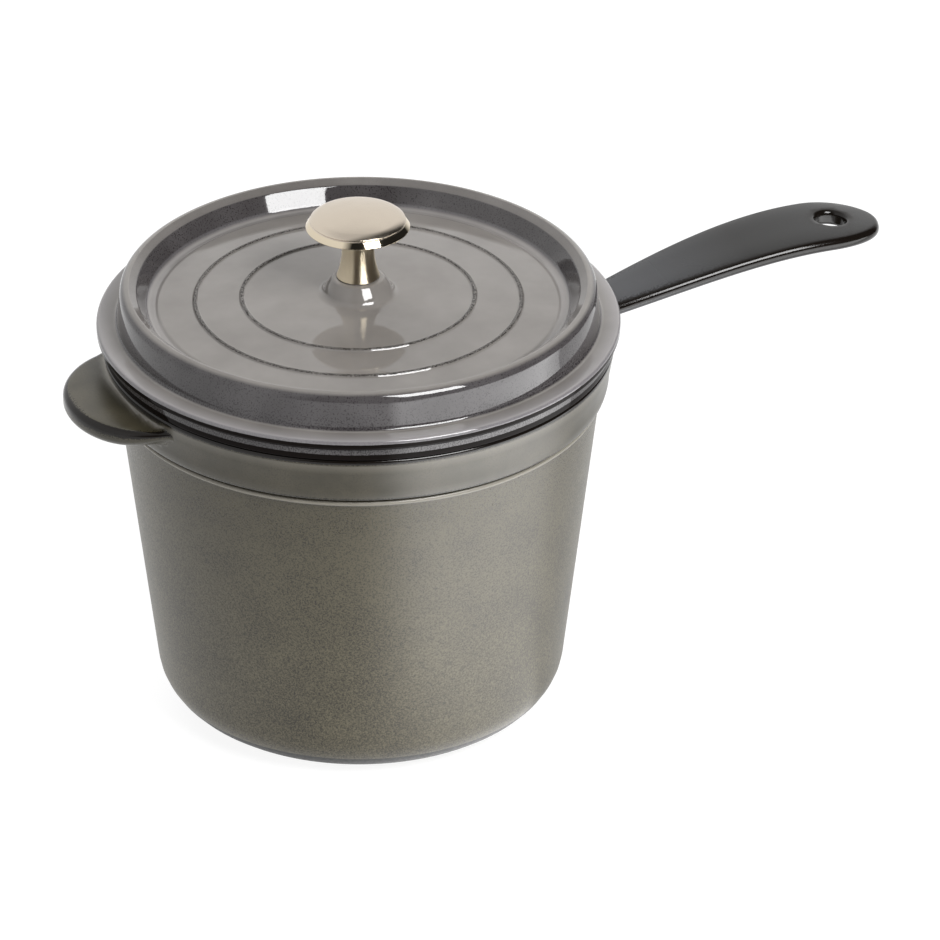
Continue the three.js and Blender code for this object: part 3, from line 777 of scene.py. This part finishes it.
# The handle's root is painted a paler, bluish grey: a painted reflection
root_painted_reflection = add_node(tree, "MapRange", {
    "Value": parts.outputs["X"], "From Min": (RIM_RADIUS - 2) * MM, "From Max": (RIM_RADIUS + 4) * MM}).outputs[0]
on_handle = add_node(tree, "MapRange", {
    "Value": parts.outputs["X"], "From Min": (RIM_RADIUS + 10) * MM, "From Max": (RIM_RADIUS + 60) * MM}).outputs[0]
thin_and_painted = add_node(tree, "Attribute", attribute_name=THIN_AND_PAINTED).outputs["Fac"]
# Below zero the numbers on the mesh are painted highlights, painted pale
painted_highlight = add_node(tree, "MapRange", {"Value": thin_and_painted, "From Max": -1.0, "To Max": 0.7}).outputs[0]
# High numbers are bare edges, and painted shade in creases and under the tongues; both are painted near black
ragged = add_node(tree, "Math", {0: grain_amount, 1: RAGGED, 2: thin_and_painted}, operation="MULTIPLY_ADD").outputs[0]
bare_and_painted_shade = add_node(tree, "MapRange", {"Value": ragged, "From Min": 0.5, "From Max": 1.0}).outputs[0]
print(pan_enamel.name, "edges follow", THIN_AND_PAINTED)

# %% Speckled enamel: its colours
coat = add_node(tree, "Mix", {
    FACTOR: grain_amount, FIRST: linear("#332f23"), SECOND: linear("#6a6450")}, data_type="RGBA").outputs[COLOUR_OUT]
flowed = add_node(tree, "Mix", {
    FACTOR: mottle, FIRST: linear("#343022"), SECOND: linear("#474234")}, data_type="RGBA").outputs[COLOUR_OUT]
# Layers from the first to the last: clouds, the smooth collar, specks, the handle's root (a painted reflection),
# the handle, painted highlights, bare edges with painted shade
for amount, layer in (
    (shade, linear("#504a39")), (smooth_part, flowed), (fleck_amount, linear("#1d1912")),
    (root_painted_reflection, linear("#3b3c3f")), (on_handle, linear("#1a1918")), (painted_highlight, linear("#9a958a")),
    (bare_and_painted_shade, linear("#15110e")),
):
    coat = add_node(tree, "Mix", {
        FACTOR: amount, FIRST: coat, SECOND: layer}, data_type="RGBA").outputs[COLOUR_OUT]
print(pan_enamel.name, "coat of", len(tree.nodes), "nodes")

# %% Speckled enamel: its skin
PEEL = 4.0

satin = add_node(tree, "MapRange", {"Value": smooth_part, "To Min": 0.38, "To Max": 0.31}).outputs[0]
satin = add_node(tree, "Mix", {FACTOR: on_handle, LOW: satin, HIGH: 0.2}).outputs[0]
skin = add_node(tree, "Mix", {FACTOR: bare_and_painted_shade, LOW: satin, HIGH: 0.13}).outputs[0]
peel = add_node(tree, "TexNoise", {"Vector": place, "Scale": per_metre(PEEL), "Detail": 1.0})
relief = add_node(tree, "Bump", {"Height": peel.outputs[0], "Strength": 0.6, "Distance": 0.03 * MM})
relief = add_node(tree, "Bump", {
    "Height": grain_amount, "Strength": 0.25, "Distance": 0.02 * MM, "Normal": relief.outputs[0]})
sheen = add_node(tree, "MapRange", {"Value": on_handle, "To Min": 0.5, "To Max": 0.38}).outputs[0]
sheen = add_node(tree, "Mix", {FACTOR: bare_and_painted_shade, LOW: sheen, HIGH: 0.3}).outputs[0]
shader = add_node(tree, "BsdfPrincipled", {
    "Base Color": coat, "Roughness": skin, "IOR": 1.5, "Specular IOR Level": sheen, "Normal": relief.outputs[0]})
add_node(tree, "OutputMaterial", {"Surface": shader.outputs[0]})
print(pan_enamel.name, len(tree.nodes), "nodes")

# %% [markdown]
# ## The lid's enamel
# The lid has the same glass, but thicker and polished by the fire, so it mirrors the room. Flat places are painted a
# pale grey and slopes a darker, purplish grey with fine specks: partly the enamel's own colour, partly painted top
# light. How flat a place is can be read from the object's own normal, which doesn't depend on where the camera stands.
# The dish's floor is pale right into its trough, so there the distance from the axis decides. Pale lines on the
# flange and in the trough are painted highlights, and the dish's wall and the rings' feet have painted shade.

# %% Glossy enamel: its slopes, painted top light and painted highlights
# Fire-polished enamel: a clear mirror skin over grey, with specks on the slopes and brown-black lines on the ridges;
# flat places are paler, partly painted top light, with painted highlights and painted shade.
LID_SPECK = 0.55
LID_RAGGED = 0.6

lid_enamel, tree = new_material("glossy_grey_enamel")
coords = add_node(tree, "TexCoord")
place = coords.outputs["Object"]
facing = add_node(tree, "SeparateXYZ", {0: coords.outputs["Normal"]}).outputs["Z"]
level = add_node(tree, "MapRange", {"Value": facing, "From Min": 0.68, "From Max": 0.9}).outputs[0]
parts = add_node(tree, "SeparateXYZ", {0: place})
across = add_node(tree, "CombineXYZ", {"X": parts.outputs["X"], "Y": parts.outputs["Y"]}).outputs[0]
reach = add_node(tree, "VectorMath", {0: across}, operation="LENGTH").outputs["Value"]
in_dish = add_node(tree, "MapRange", {
    "Value": reach, "From Min": (DISH_FOOT_RADIUS + 0.6) * MM, "From Max": (DISH_FOOT_RADIUS - 0.8) * MM}).outputs[0]
# Flat places and the dish's floor are painted paler: partly the enamel's own colour, partly painted top light
flat = add_node(tree, "Math", {0: level, 1: in_dish}, operation="MAXIMUM").outputs[0]
# The dish's wall is painted darker: painted shade
dish_wall_painted_shade = add_node(tree, "MapRange", {
    "Value": reach, "From Min": (DISH_EDGE_RADIUS + 1.0) * MM, "From Max": (DISH_EDGE_RADIUS - 0.2) * MM,
    "To Max": 0.15}).outputs[0]
cloud = add_node(tree, "TexNoise", {"Vector": place, "Scale": per_metre(CLOUD), "Detail": 3.0})
shade = add_node(tree, "MapRange", {"Value": cloud.outputs[0], "From Min": 0.3, "From Max": 0.7}).outputs[0]
fleck = add_node(tree, "TexNoise", {"Vector": place, "Scale": per_metre(LID_SPECK), "Detail": 1.0})
foot = add_node(tree, "MapRange", {
    "Value": parts.outputs["Z"], "From Min": (SEAT + 16) * MM, "From Max": (SEAT + 9) * MM, "To Max": 0.1}).outputs[0]
gathered = add_node(tree, "Math", {0: fleck.outputs[0], 1: foot}, operation="ADD").outputs[0]
fleck_amount = add_node(tree, "MapRange", {
    "Value": gathered, "From Min": 0.57, "From Max": 0.68, "To Max": 0.75}).outputs[0]
thin_and_painted = add_node(tree, "Attribute", attribute_name=THIN_AND_PAINTED).outputs["Fac"]
# Below zero the numbers on the mesh are painted highlights, on the flange and in the trough
painted_highlight = add_node(tree, "MapRange", {"Value": thin_and_painted, "From Max": -1.0, "To Max": 0.6}).outputs[0]
ragged = add_node(tree, "Math", {0: fleck.outputs[0], 1: LID_RAGGED, 2: thin_and_painted}, operation="MULTIPLY_ADD").outputs[0]
bare_and_painted_shade = add_node(tree, "MapRange", {"Value": ragged, "From Min": 0.7, "From Max": 0.95}).outputs[0]
print(lid_enamel.name, "specks of", LID_SPECK, "mm")

# %% Glossy enamel: its colours
pale_level_and_top_light = add_node(tree, "Mix", {
    FACTOR: shade, FIRST: linear("#7a7672"), SECOND: linear("#85817d")}, data_type="RGBA").outputs[COLOUR_OUT]
coat = add_node(tree, "Mix", {
    FACTOR: shade, FIRST: linear("#464344"), SECOND: linear("#545152")}, data_type="RGBA").outputs[COLOUR_OUT]
# Layers over the darker grey of the slopes: specks, painted shade on the dish's wall, flat places (partly painted
# top light), painted highlights, bare edges with painted shade at the rings' feet
for amount, layer in (
    (fleck_amount, linear("#1f1a1c")), (dish_wall_painted_shade, linear("#2e2b28")), (flat, pale_level_and_top_light), (painted_highlight, linear("#aaa7aa")),
    (bare_and_painted_shade, linear("#120d0b")),
):
    coat = add_node(tree, "Mix", {
        FACTOR: amount, FIRST: coat, SECOND: layer}, data_type="RGBA").outputs[COLOUR_OUT]
print(lid_enamel.name, "coat of", len(tree.nodes), "nodes")

# %% Glossy enamel: its skin
RIPPLE = 9.0

ripple = add_node(tree, "TexNoise", {"Vector": place, "Scale": per_metre(RIPPLE), "Detail": 1.0})
relief = add_node(tree, "Bump", {"Height": ripple.outputs[0], "Strength": 0.5, "Distance": 0.03 * MM})
gloss = add_node(tree, "MapRange", {"Value": shade, "To Min": 0.035, "To Max": 0.06}).outputs[0]
sheen = add_node(tree, "MapRange", {"Value": bare_and_painted_shade, "To Min": 0.5, "To Max": 0.05}).outputs[0]
shader = add_node(tree, "BsdfPrincipled", {
    "Base Color": coat, "Roughness": gloss, "IOR": 1.5, "Specular IOR Level": sheen, "Normal": relief.outputs[0]})
add_node(tree, "OutputMaterial", {"Surface": shader.outputs[0]})
print(lid_enamel.name, len(tree.nodes), "nodes")

# %% [markdown]
# ## The black enamel inside
# The cooking side has a matt black enamel with a pebbled skin, which holds oil. The base is ground and fired black.

# %% Black enamel
# Matt enamel: nearly black, with a fine pebbled skin that breaks up the light.
PEBBLE = 1.1

black_enamel, tree = new_material("matt_black_enamel")
place = add_node(tree, "TexCoord").outputs["Object"]
pebble = add_node(tree, "TexVoronoi", {"Vector": place, "Scale": per_metre(PEBBLE)}, feature="SMOOTH_F1")
cloud = add_node(tree, "TexNoise", {"Vector": place, "Scale": per_metre(CLOUD), "Detail": 3.0})
coat = add_node(tree, "Mix", {
    FACTOR: cloud.outputs[0], FIRST: linear("#161615"), SECOND: linear("#262524")},
    data_type="RGBA").outputs[COLOUR_OUT]
dull = add_node(tree, "MapRange", {"Value": pebble.outputs["Distance"], "To Min": 0.42, "To Max": 0.62}).outputs[0]
relief = add_node(tree, "Bump", {
    "Height": pebble.outputs["Distance"], "Strength": 0.5, "Distance": 0.12 * MM}, invert=True)
shader = add_node(tree, "BsdfPrincipled", {
    "Base Color": coat, "Roughness": dull, "IOR": 1.5, "Normal": relief.outputs[0]})
add_node(tree, "OutputMaterial", {"Surface": shader.outputs[0]})
print(black_enamel.name, len(tree.nodes), "nodes")

# %% [markdown]
# ## The knob's nickel
# The knob is turned from bar and nickel plated. Its top is brushed satin on the lathe, so its fine scratches run in
# circles; the edge and the underside are polished, and the stem keeps the tool's rings, which draw its highlights out.
# Rings of noise need only the distance from the axis, so the noise reads that one number and the height.

# %% Satin and polished nickel
# Nickel plate: a warm metal, satin with circular scratches on top, mirror bright on the edge, drawn out on the stem.
# Real brush scratches are finer; these are as coarse as they need to be to show
SCRATCH = 0.25
RUB = 6.0

finishes = []
# Name, colour, roughness and its change, scratch depth in millimetres, how far the gloss is drawn out
for name, colour, rough, rough_change, scratch_depth, drawn_out in (
    ("satin_nickel", "#d2c6b6", 0.22, 0.1, 0.004, 0.0),
    ("polished_nickel", "#d8cbb4", 0.06, 0.04, 0.0005, 0.0),
    ("turned_nickel", "#d0c3aa", 0.36, 0.04, 0.003, 1.0),
):
    material, tree = new_material(name)
    place = add_node(tree, "TexCoord").outputs["Object"]
    parts = add_node(tree, "SeparateXYZ", {0: place})
    level = add_node(tree, "CombineXYZ", {"X": parts.outputs["X"], "Y": parts.outputs["Y"]})
    radius = add_node(tree, "VectorMath", {0: level.outputs[0]}, operation="LENGTH").outputs["Value"]
    along = add_node(tree, "CombineXYZ", {"X": radius, "Y": parts.outputs["Z"]})
    rings = add_node(tree, "TexNoise", {"Vector": along.outputs[0], "Scale": per_metre(SCRATCH), "Detail": 2.0})
    rub = add_node(tree, "TexNoise", {"Vector": place, "Scale": per_metre(RUB), "Detail": 2.0})
    brushed = add_node(tree, "MapRange", {
        "Value": rub.outputs[0], "From Min": 0.3, "From Max": 0.7, "To Min": rough - rough_change / 2,
        "To Max": rough + rough_change / 2}).outputs[0]
    relief = add_node(tree, "Bump", {"Height": rings.outputs[0], "Strength": 0.6, "Distance": scratch_depth * MM})
    around = add_node(tree, "Tangent", direction_type="RADIAL", axis="Z").outputs[0]
    shader = add_node(tree, "BsdfPrincipled", {
        "Base Color": linear(colour), "Metallic": 1.0, "Roughness": brushed, "Anisotropic": drawn_out,
        "Anisotropic Rotation": 0.25, "Tangent": around, "Normal": relief.outputs[0]})
    add_node(tree, "OutputMaterial", {"Surface": shader.outputs[0]})
    finishes.append(material)
    print(name, len(tree.nodes), "nodes")
satin_nickel, polished_nickel, turned_nickel = finishes

# %% [markdown]
# ## The fasteners' steel
# The screw and the washer are plain stainless steel, turned and stamped, with a dull even grain.

# %% Stainless steel
# Stainless steel: a cool grey metal with a dull, fine, even grain.
STEEL_GRAIN = 0.4

steel, tree = new_material("stainless_steel")
place = add_node(tree, "TexCoord").outputs["Object"]
grain = add_node(tree, "TexNoise", {"Vector": place, "Scale": per_metre(STEEL_GRAIN), "Detail": 3.0})
dull = add_node(tree, "MapRange", {"Value": grain.outputs[0], "To Min": 0.2, "To Max": 0.45}).outputs[0]
tone = add_node(tree, "Mix", {
    FACTOR: grain.outputs[0], FIRST: linear("#a4a4a2"), SECOND: linear("#bebebc")},
    data_type="RGBA").outputs[COLOUR_OUT]
relief = add_node(tree, "Bump", {"Height": grain.outputs[0], "Strength": 0.3, "Distance": 0.01 * MM})
shader = add_node(tree, "BsdfPrincipled", {
    "Base Color": tone, "Metallic": 1.0, "Roughness": dull, "Normal": relief.outputs[0]})
add_node(tree, "OutputMaterial", {"Surface": shader.outputs[0]})
print(steel.name, len(tree.nodes), "nodes")

# %% [markdown]
# ## Finishes on the pieces
# Both castings are grey outside and black on the cooking side, and the knob has three finishes. A piece could be cut
# apart along those borders, but a mesh can hold several materials, so each face takes one by where it lies.

# %% Which finish goes where
BASE_FLAT_RADIUS = 70
BASE_FACE = 0.05


def radius_and_height(face):
    """Where the middle of a face lies, in millimetres."""
    middle = face.center / MM
    return math.hypot(middle.x, middle.y), middle.z


for piece, materials in ((pan, (pan_enamel, black_enamel)), (lid, (lid_enamel, black_enamel)),
                         (knob, (satin_nickel, polished_nickel, turned_nickel)), (screw, (steel,)), (washer, (steel,))):
    piece.data.materials.clear()
    for material in materials:
        piece.data.materials.append(material)
for face in pan.data.polygons:
    radius, height = radius_and_height(face)
    inside = height > FLOOR / 2 and radius < min(wall_radius(height) - WALL / 2, MOUTH_RADIUS + 1)
    face.material_index = 1 if inside or (height < BASE_FACE and radius < BASE_FLAT_RADIUS) else 0
for face in lid.data.polygons:
    radius, height = radius_and_height(face)
    face.material_index = 1 if radius < MOUTH_RADIUS and height < CROWN - dome_sag(radius) - PLATE / 2 else 0
for face in knob.data.polygons:
    radius, height = radius_and_height(face)
    turned = radius < STEM_FOOT_RADIUS + 1 and height < UNDERSIDE
    face.material_index = 2 if turned else 0 if height > BAND_TOP - NECK_HALF else 1
for piece in (pan, lid, knob):
    used = [face.material_index for face in piece.data.polygons]
    print(piece.name, {material.name: used.count(index) for index, material in enumerate(piece.data.materials)})

# %% [markdown]
# ## Riding
# The lid lifts off with its knob, screw and washer, so those four ride on the lid's body. Each piece takes the place of
# the CAD node that it refines.

# %% Bodies and nodes
for piece, body, node, slot_name in (
    (pan, "pan", "pan_body", "pan_enamel"),
    (lid, "lid", "lid", "lid_enamel"),
    (knob, "lid", "knob", "knob_nickel"),
    (screw, "lid", "knob_screw", "fastener_steel"),
    (washer, "lid", "knob_washer", "fastener_steel"),
):
    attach(piece, body)
    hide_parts(node)
    print(piece.name, "rides on", body)

# %% [markdown]
# ## The studio
# The photo has a white table that runs up into a white wall, so floor and room are white to the camera. In reflections
# the table and the walls are white too, but the ceiling and the dark side of the studio, to the right of the camera,
# give metal and gloss their depth. A strength of one is white. The floor also throws light back up on the pan, and it
# keeps a soft shadow.

# %% Camera
CAMERA_PLACE = Vector((-988.4, -2509.2, 1587.8))
CAMERA_AIM = Vector((34.5, -27.85, 100.0))
CAMERA_BEARING = math.atan2(CAMERA_PLACE.y, CAMERA_PLACE.x)
FOCAL_PIXELS = 8000
IMAGE_WIDTH = 940
SENSOR_WIDTH = 36
FAR_CLIP = 100

lens = bpy.data.cameras.new("photo_camera")
lens.sensor_width = SENSOR_WIDTH
lens.lens = FOCAL_PIXELS / IMAGE_WIDTH * SENSOR_WIDTH
lens.clip_end = FAR_CLIP
camera = bpy.data.objects.new("photo_camera", lens)
camera.location = CAMERA_PLACE * MM
camera.rotation_euler = (CAMERA_AIM - CAMERA_PLACE).to_track_quat("-Z", "Y").to_euler()
bpy.context.scene.collection.objects.link(camera)
bpy.context.scene.camera = camera
bpy.context.scene.view_settings.view_transform = "Standard"
print("lens", round(lens.lens, 1), "mm")

# %% Floor
FLOOR_SIZE = 1.8
FLOOR_GAP = 0.0002
FLOOR_PAINT = 0.18
FLOOR_GLOW = 0.9
FLOOR_BOUNCE = 0.7

material, tree = new_material("white_floor")
path = add_node(tree, "LightPath")
mirrored = add_node(tree, "Math", {0: path.outputs["Is Glossy Ray"], 1: path.outputs["Is Transmission Ray"]},
                    operation="MAXIMUM").outputs[0]
seen = add_node(tree, "Math", {0: path.outputs["Is Camera Ray"], 1: mirrored}, operation="MAXIMUM").outputs[0]
glow = add_node(tree, "MapRange", {"Value": seen, "To Min": FLOOR_BOUNCE, "To Max": FLOOR_GLOW}).outputs[0]
paint = add_node(tree, "BsdfDiffuse", {"Color": (FLOOR_PAINT, FLOOR_PAINT, FLOOR_PAINT, 1)})
lit = add_node(tree, "Emission", {"Strength": glow})
shader = add_node(tree, "AddShader", {0: paint.outputs[0], 1: lit.outputs[0]})
add_node(tree, "OutputMaterial", {"Surface": shader.outputs[0]})
ground = bmesh.new()
bmesh.ops.create_grid(ground, x_segments=1, y_segments=1, size=FLOOR_SIZE / 2 / MM)
floor = make_object(ground, "studio_floor")
floor.data.materials.append(material)
floor.data.transform(Matrix.Translation((0, 0, -FLOOR_GAP)))

# %% Room
SURROUND = 0.3
CEILING = 0.7
CEILING_START = math.sin(math.radians(45))
CEILING_END = math.sin(math.radians(70))
DARK_BEARING = 55
DARK_SIDE = 0.02
DARK_START = -0.05
DARK_END = 0.25

world = bpy.data.worlds.new("studio")
bpy.context.scene.world = world
world.use_nodes = True
tree = world.node_tree
tree.nodes.clear()
direction = add_node(tree, "TexCoord").outputs["Generated"]
rise = add_node(tree, "SeparateXYZ", {0: direction}).outputs["Z"]
ceiling = add_node(tree, "MapRange", {
    "Value": rise, "From Min": CEILING_START, "From Max": CEILING_END, "To Min": 1.0, "To Max": CEILING}).outputs[0]
dark_angle = CAMERA_BEARING + math.radians(DARK_BEARING)
dark_way = Vector((math.cos(dark_angle), math.sin(dark_angle), 0))
towards = add_node(tree, "VectorMath", {0: direction, 1: dark_way}, operation="DOT_PRODUCT").outputs["Value"]
front = add_node(tree, "MapRange", {
    "Value": towards, "From Min": DARK_START, "From Max": DARK_END, "To Min": 1.0, "To Max": DARK_SIDE}).outputs[0]
room = add_node(tree, "Math", {0: ceiling, 1: front}, operation="MULTIPLY").outputs[0]
path = add_node(tree, "LightPath")
mirrored = add_node(tree, "Math", {0: path.outputs["Is Glossy Ray"], 1: path.outputs["Is Transmission Ray"]},
                    operation="MAXIMUM").outputs[0]
gathered = add_node(tree, "Mix", {FACTOR: mirrored, LOW: SURROUND, HIGH: room}).outputs[0]
strength = add_node(tree, "Mix", {FACTOR: path.outputs["Is Camera Ray"], LOW: gathered, HIGH: 1.0}).outputs[0]
backdrop = add_node(tree, "Background", {"Color": (1, 1, 1, 1), "Strength": strength})
add_node(tree, "OutputWorld", {"Surface": backdrop.outputs[0]})
print(world.name, len(tree.nodes), "nodes")

# %% [markdown]
# ## The lamps
# A soft box at the right lights the pan and shows as a bright patch in the lid's gloss. The photo's patch is larger
# than the panel that lights the pan here, so a second panel just in front of it shows only in gloss. Two more only
# give light: a wide one at the right and one at the back. A bright card on the table, seen only in gloss, gives the
# pot's right side its sheen, and fades towards its edges as that sheen does.

# %% Soft boxes
LAMP_TARGET = Vector((0, 0, 100)) * MM
AREA_LAMP_FACTOR = 4.0
KEY_BEARING = 36
KEY_ELEVATION = 43
KEY_BRIGHTNESS = 16


def panel(name, bearing, elevation, distance, width, height, brightness, mirrored=True, spread=True):
    """A soft box: bearing is to the right of the camera, in degrees, and brightness is that of its face."""
    lamp = bpy.data.lights.new(name, "AREA")
    lamp.shape = "RECTANGLE"
    lamp.size = width
    lamp.size_y = height
    lamp.energy = AREA_LAMP_FACTOR * width * height * brightness
    made = bpy.data.objects.new(name, lamp)
    angle = CAMERA_BEARING + math.radians(bearing)
    tilt = math.radians(elevation)
    away = Vector((math.cos(angle) * math.cos(tilt), math.sin(angle) * math.cos(tilt), math.sin(tilt)))
    made.location = LAMP_TARGET + away * distance
    made.rotation_euler = away.to_track_quat("Z", "Y").to_euler()
    made.visible_camera = False
    made.visible_glossy = mirrored
    made.visible_diffuse = spread
    bpy.context.scene.collection.objects.link(made)
    print(name, round(lamp.energy, 2), "W")
    return made


# Name, bearing and elevation in degrees, distance, width and height in metres, brightness
panel("key_softbox", KEY_BEARING, KEY_ELEVATION, 1.6, 0.66, 0.46, KEY_BRIGHTNESS, mirrored=False)
panel("key_softbox_face", KEY_BEARING, KEY_ELEVATION, 1.5, 0.73, 0.72, KEY_BRIGHTNESS, spread=False)
panel("side_softbox", 60, 24, 1.8, 1.6, 1.3, 0.9, mirrored=False)
panel("back_softbox", 200, 34, 1.8, 1.8, 0.9, 4, mirrored=False)

# %% Bounce card
CARD_BEARING = 15
CARD_NEAR = 0.05
CARD_FAR = 0.9
CARD_LEFT = -0.05
CARD_RIGHT = 1.3
CARD_HEIGHT = 0.002
CARD_BRIGHTNESS = 3.1
# Shares of the card's length and width over which it fades, and how bright it is there
NEAR_FADE = 0.134
NEAR_GLOW = 0.3
SIDE_FADE = 0.927
FAR_FADE_START = 0.3
FAR_FADE_END = 0.5
FAR_GLOW = 0.65

turn_to = CAMERA_BEARING + math.radians(CARD_BEARING)
ahead = Vector((math.cos(turn_to), math.sin(turn_to), 0))
aside = Vector((-math.sin(turn_to), math.cos(turn_to), 0))
card = panel("bounce_card", 0, 0, 0, CARD_FAR - CARD_NEAR, CARD_RIGHT - CARD_LEFT, CARD_BRIGHTNESS, spread=False)
card.location = ahead * (CARD_NEAR + CARD_FAR) / 2 + aside * (CARD_LEFT + CARD_RIGHT) / 2
card.location.z = CARD_HEIGHT
card.rotation_euler = Matrix((ahead, -aside, Vector((0, 0, -1)))).transposed().to_euler()
card.data.use_nodes = True
tree = card.data.node_tree
tree.nodes.clear()
spot = add_node(tree, "NewGeometry").outputs["Parametric"]
spot = add_node(tree, "SeparateXYZ", {0: spot})
outwards = add_node(tree, "MapRange", {
    "Value": spot.outputs["X"], "From Max": NEAR_FADE, "To Min": NEAR_GLOW}).outputs[0]
rightwards = add_node(tree, "MapRange", {
    "Value": spot.outputs["Y"], "From Min": 1.0, "From Max": SIDE_FADE}, interpolation_type="SMOOTHSTEP").outputs[0]
far_off = add_node(tree, "MapRange", {
    "Value": spot.outputs["X"], "From Min": FAR_FADE_START, "From Max": FAR_FADE_END, "To Min": 1.0,
    "To Max": FAR_GLOW}).outputs[0]
faded = add_node(tree, "Math", {0: outwards, 1: rightwards}, operation="MULTIPLY").outputs[0]
faded = add_node(tree, "Math", {0: faded, 1: far_off}, operation="MULTIPLY").outputs[0]
glow = add_node(tree, "Emission", {"Strength": faded})
add_node(tree, "OutputLight", {"Surface": glow.outputs[0]})
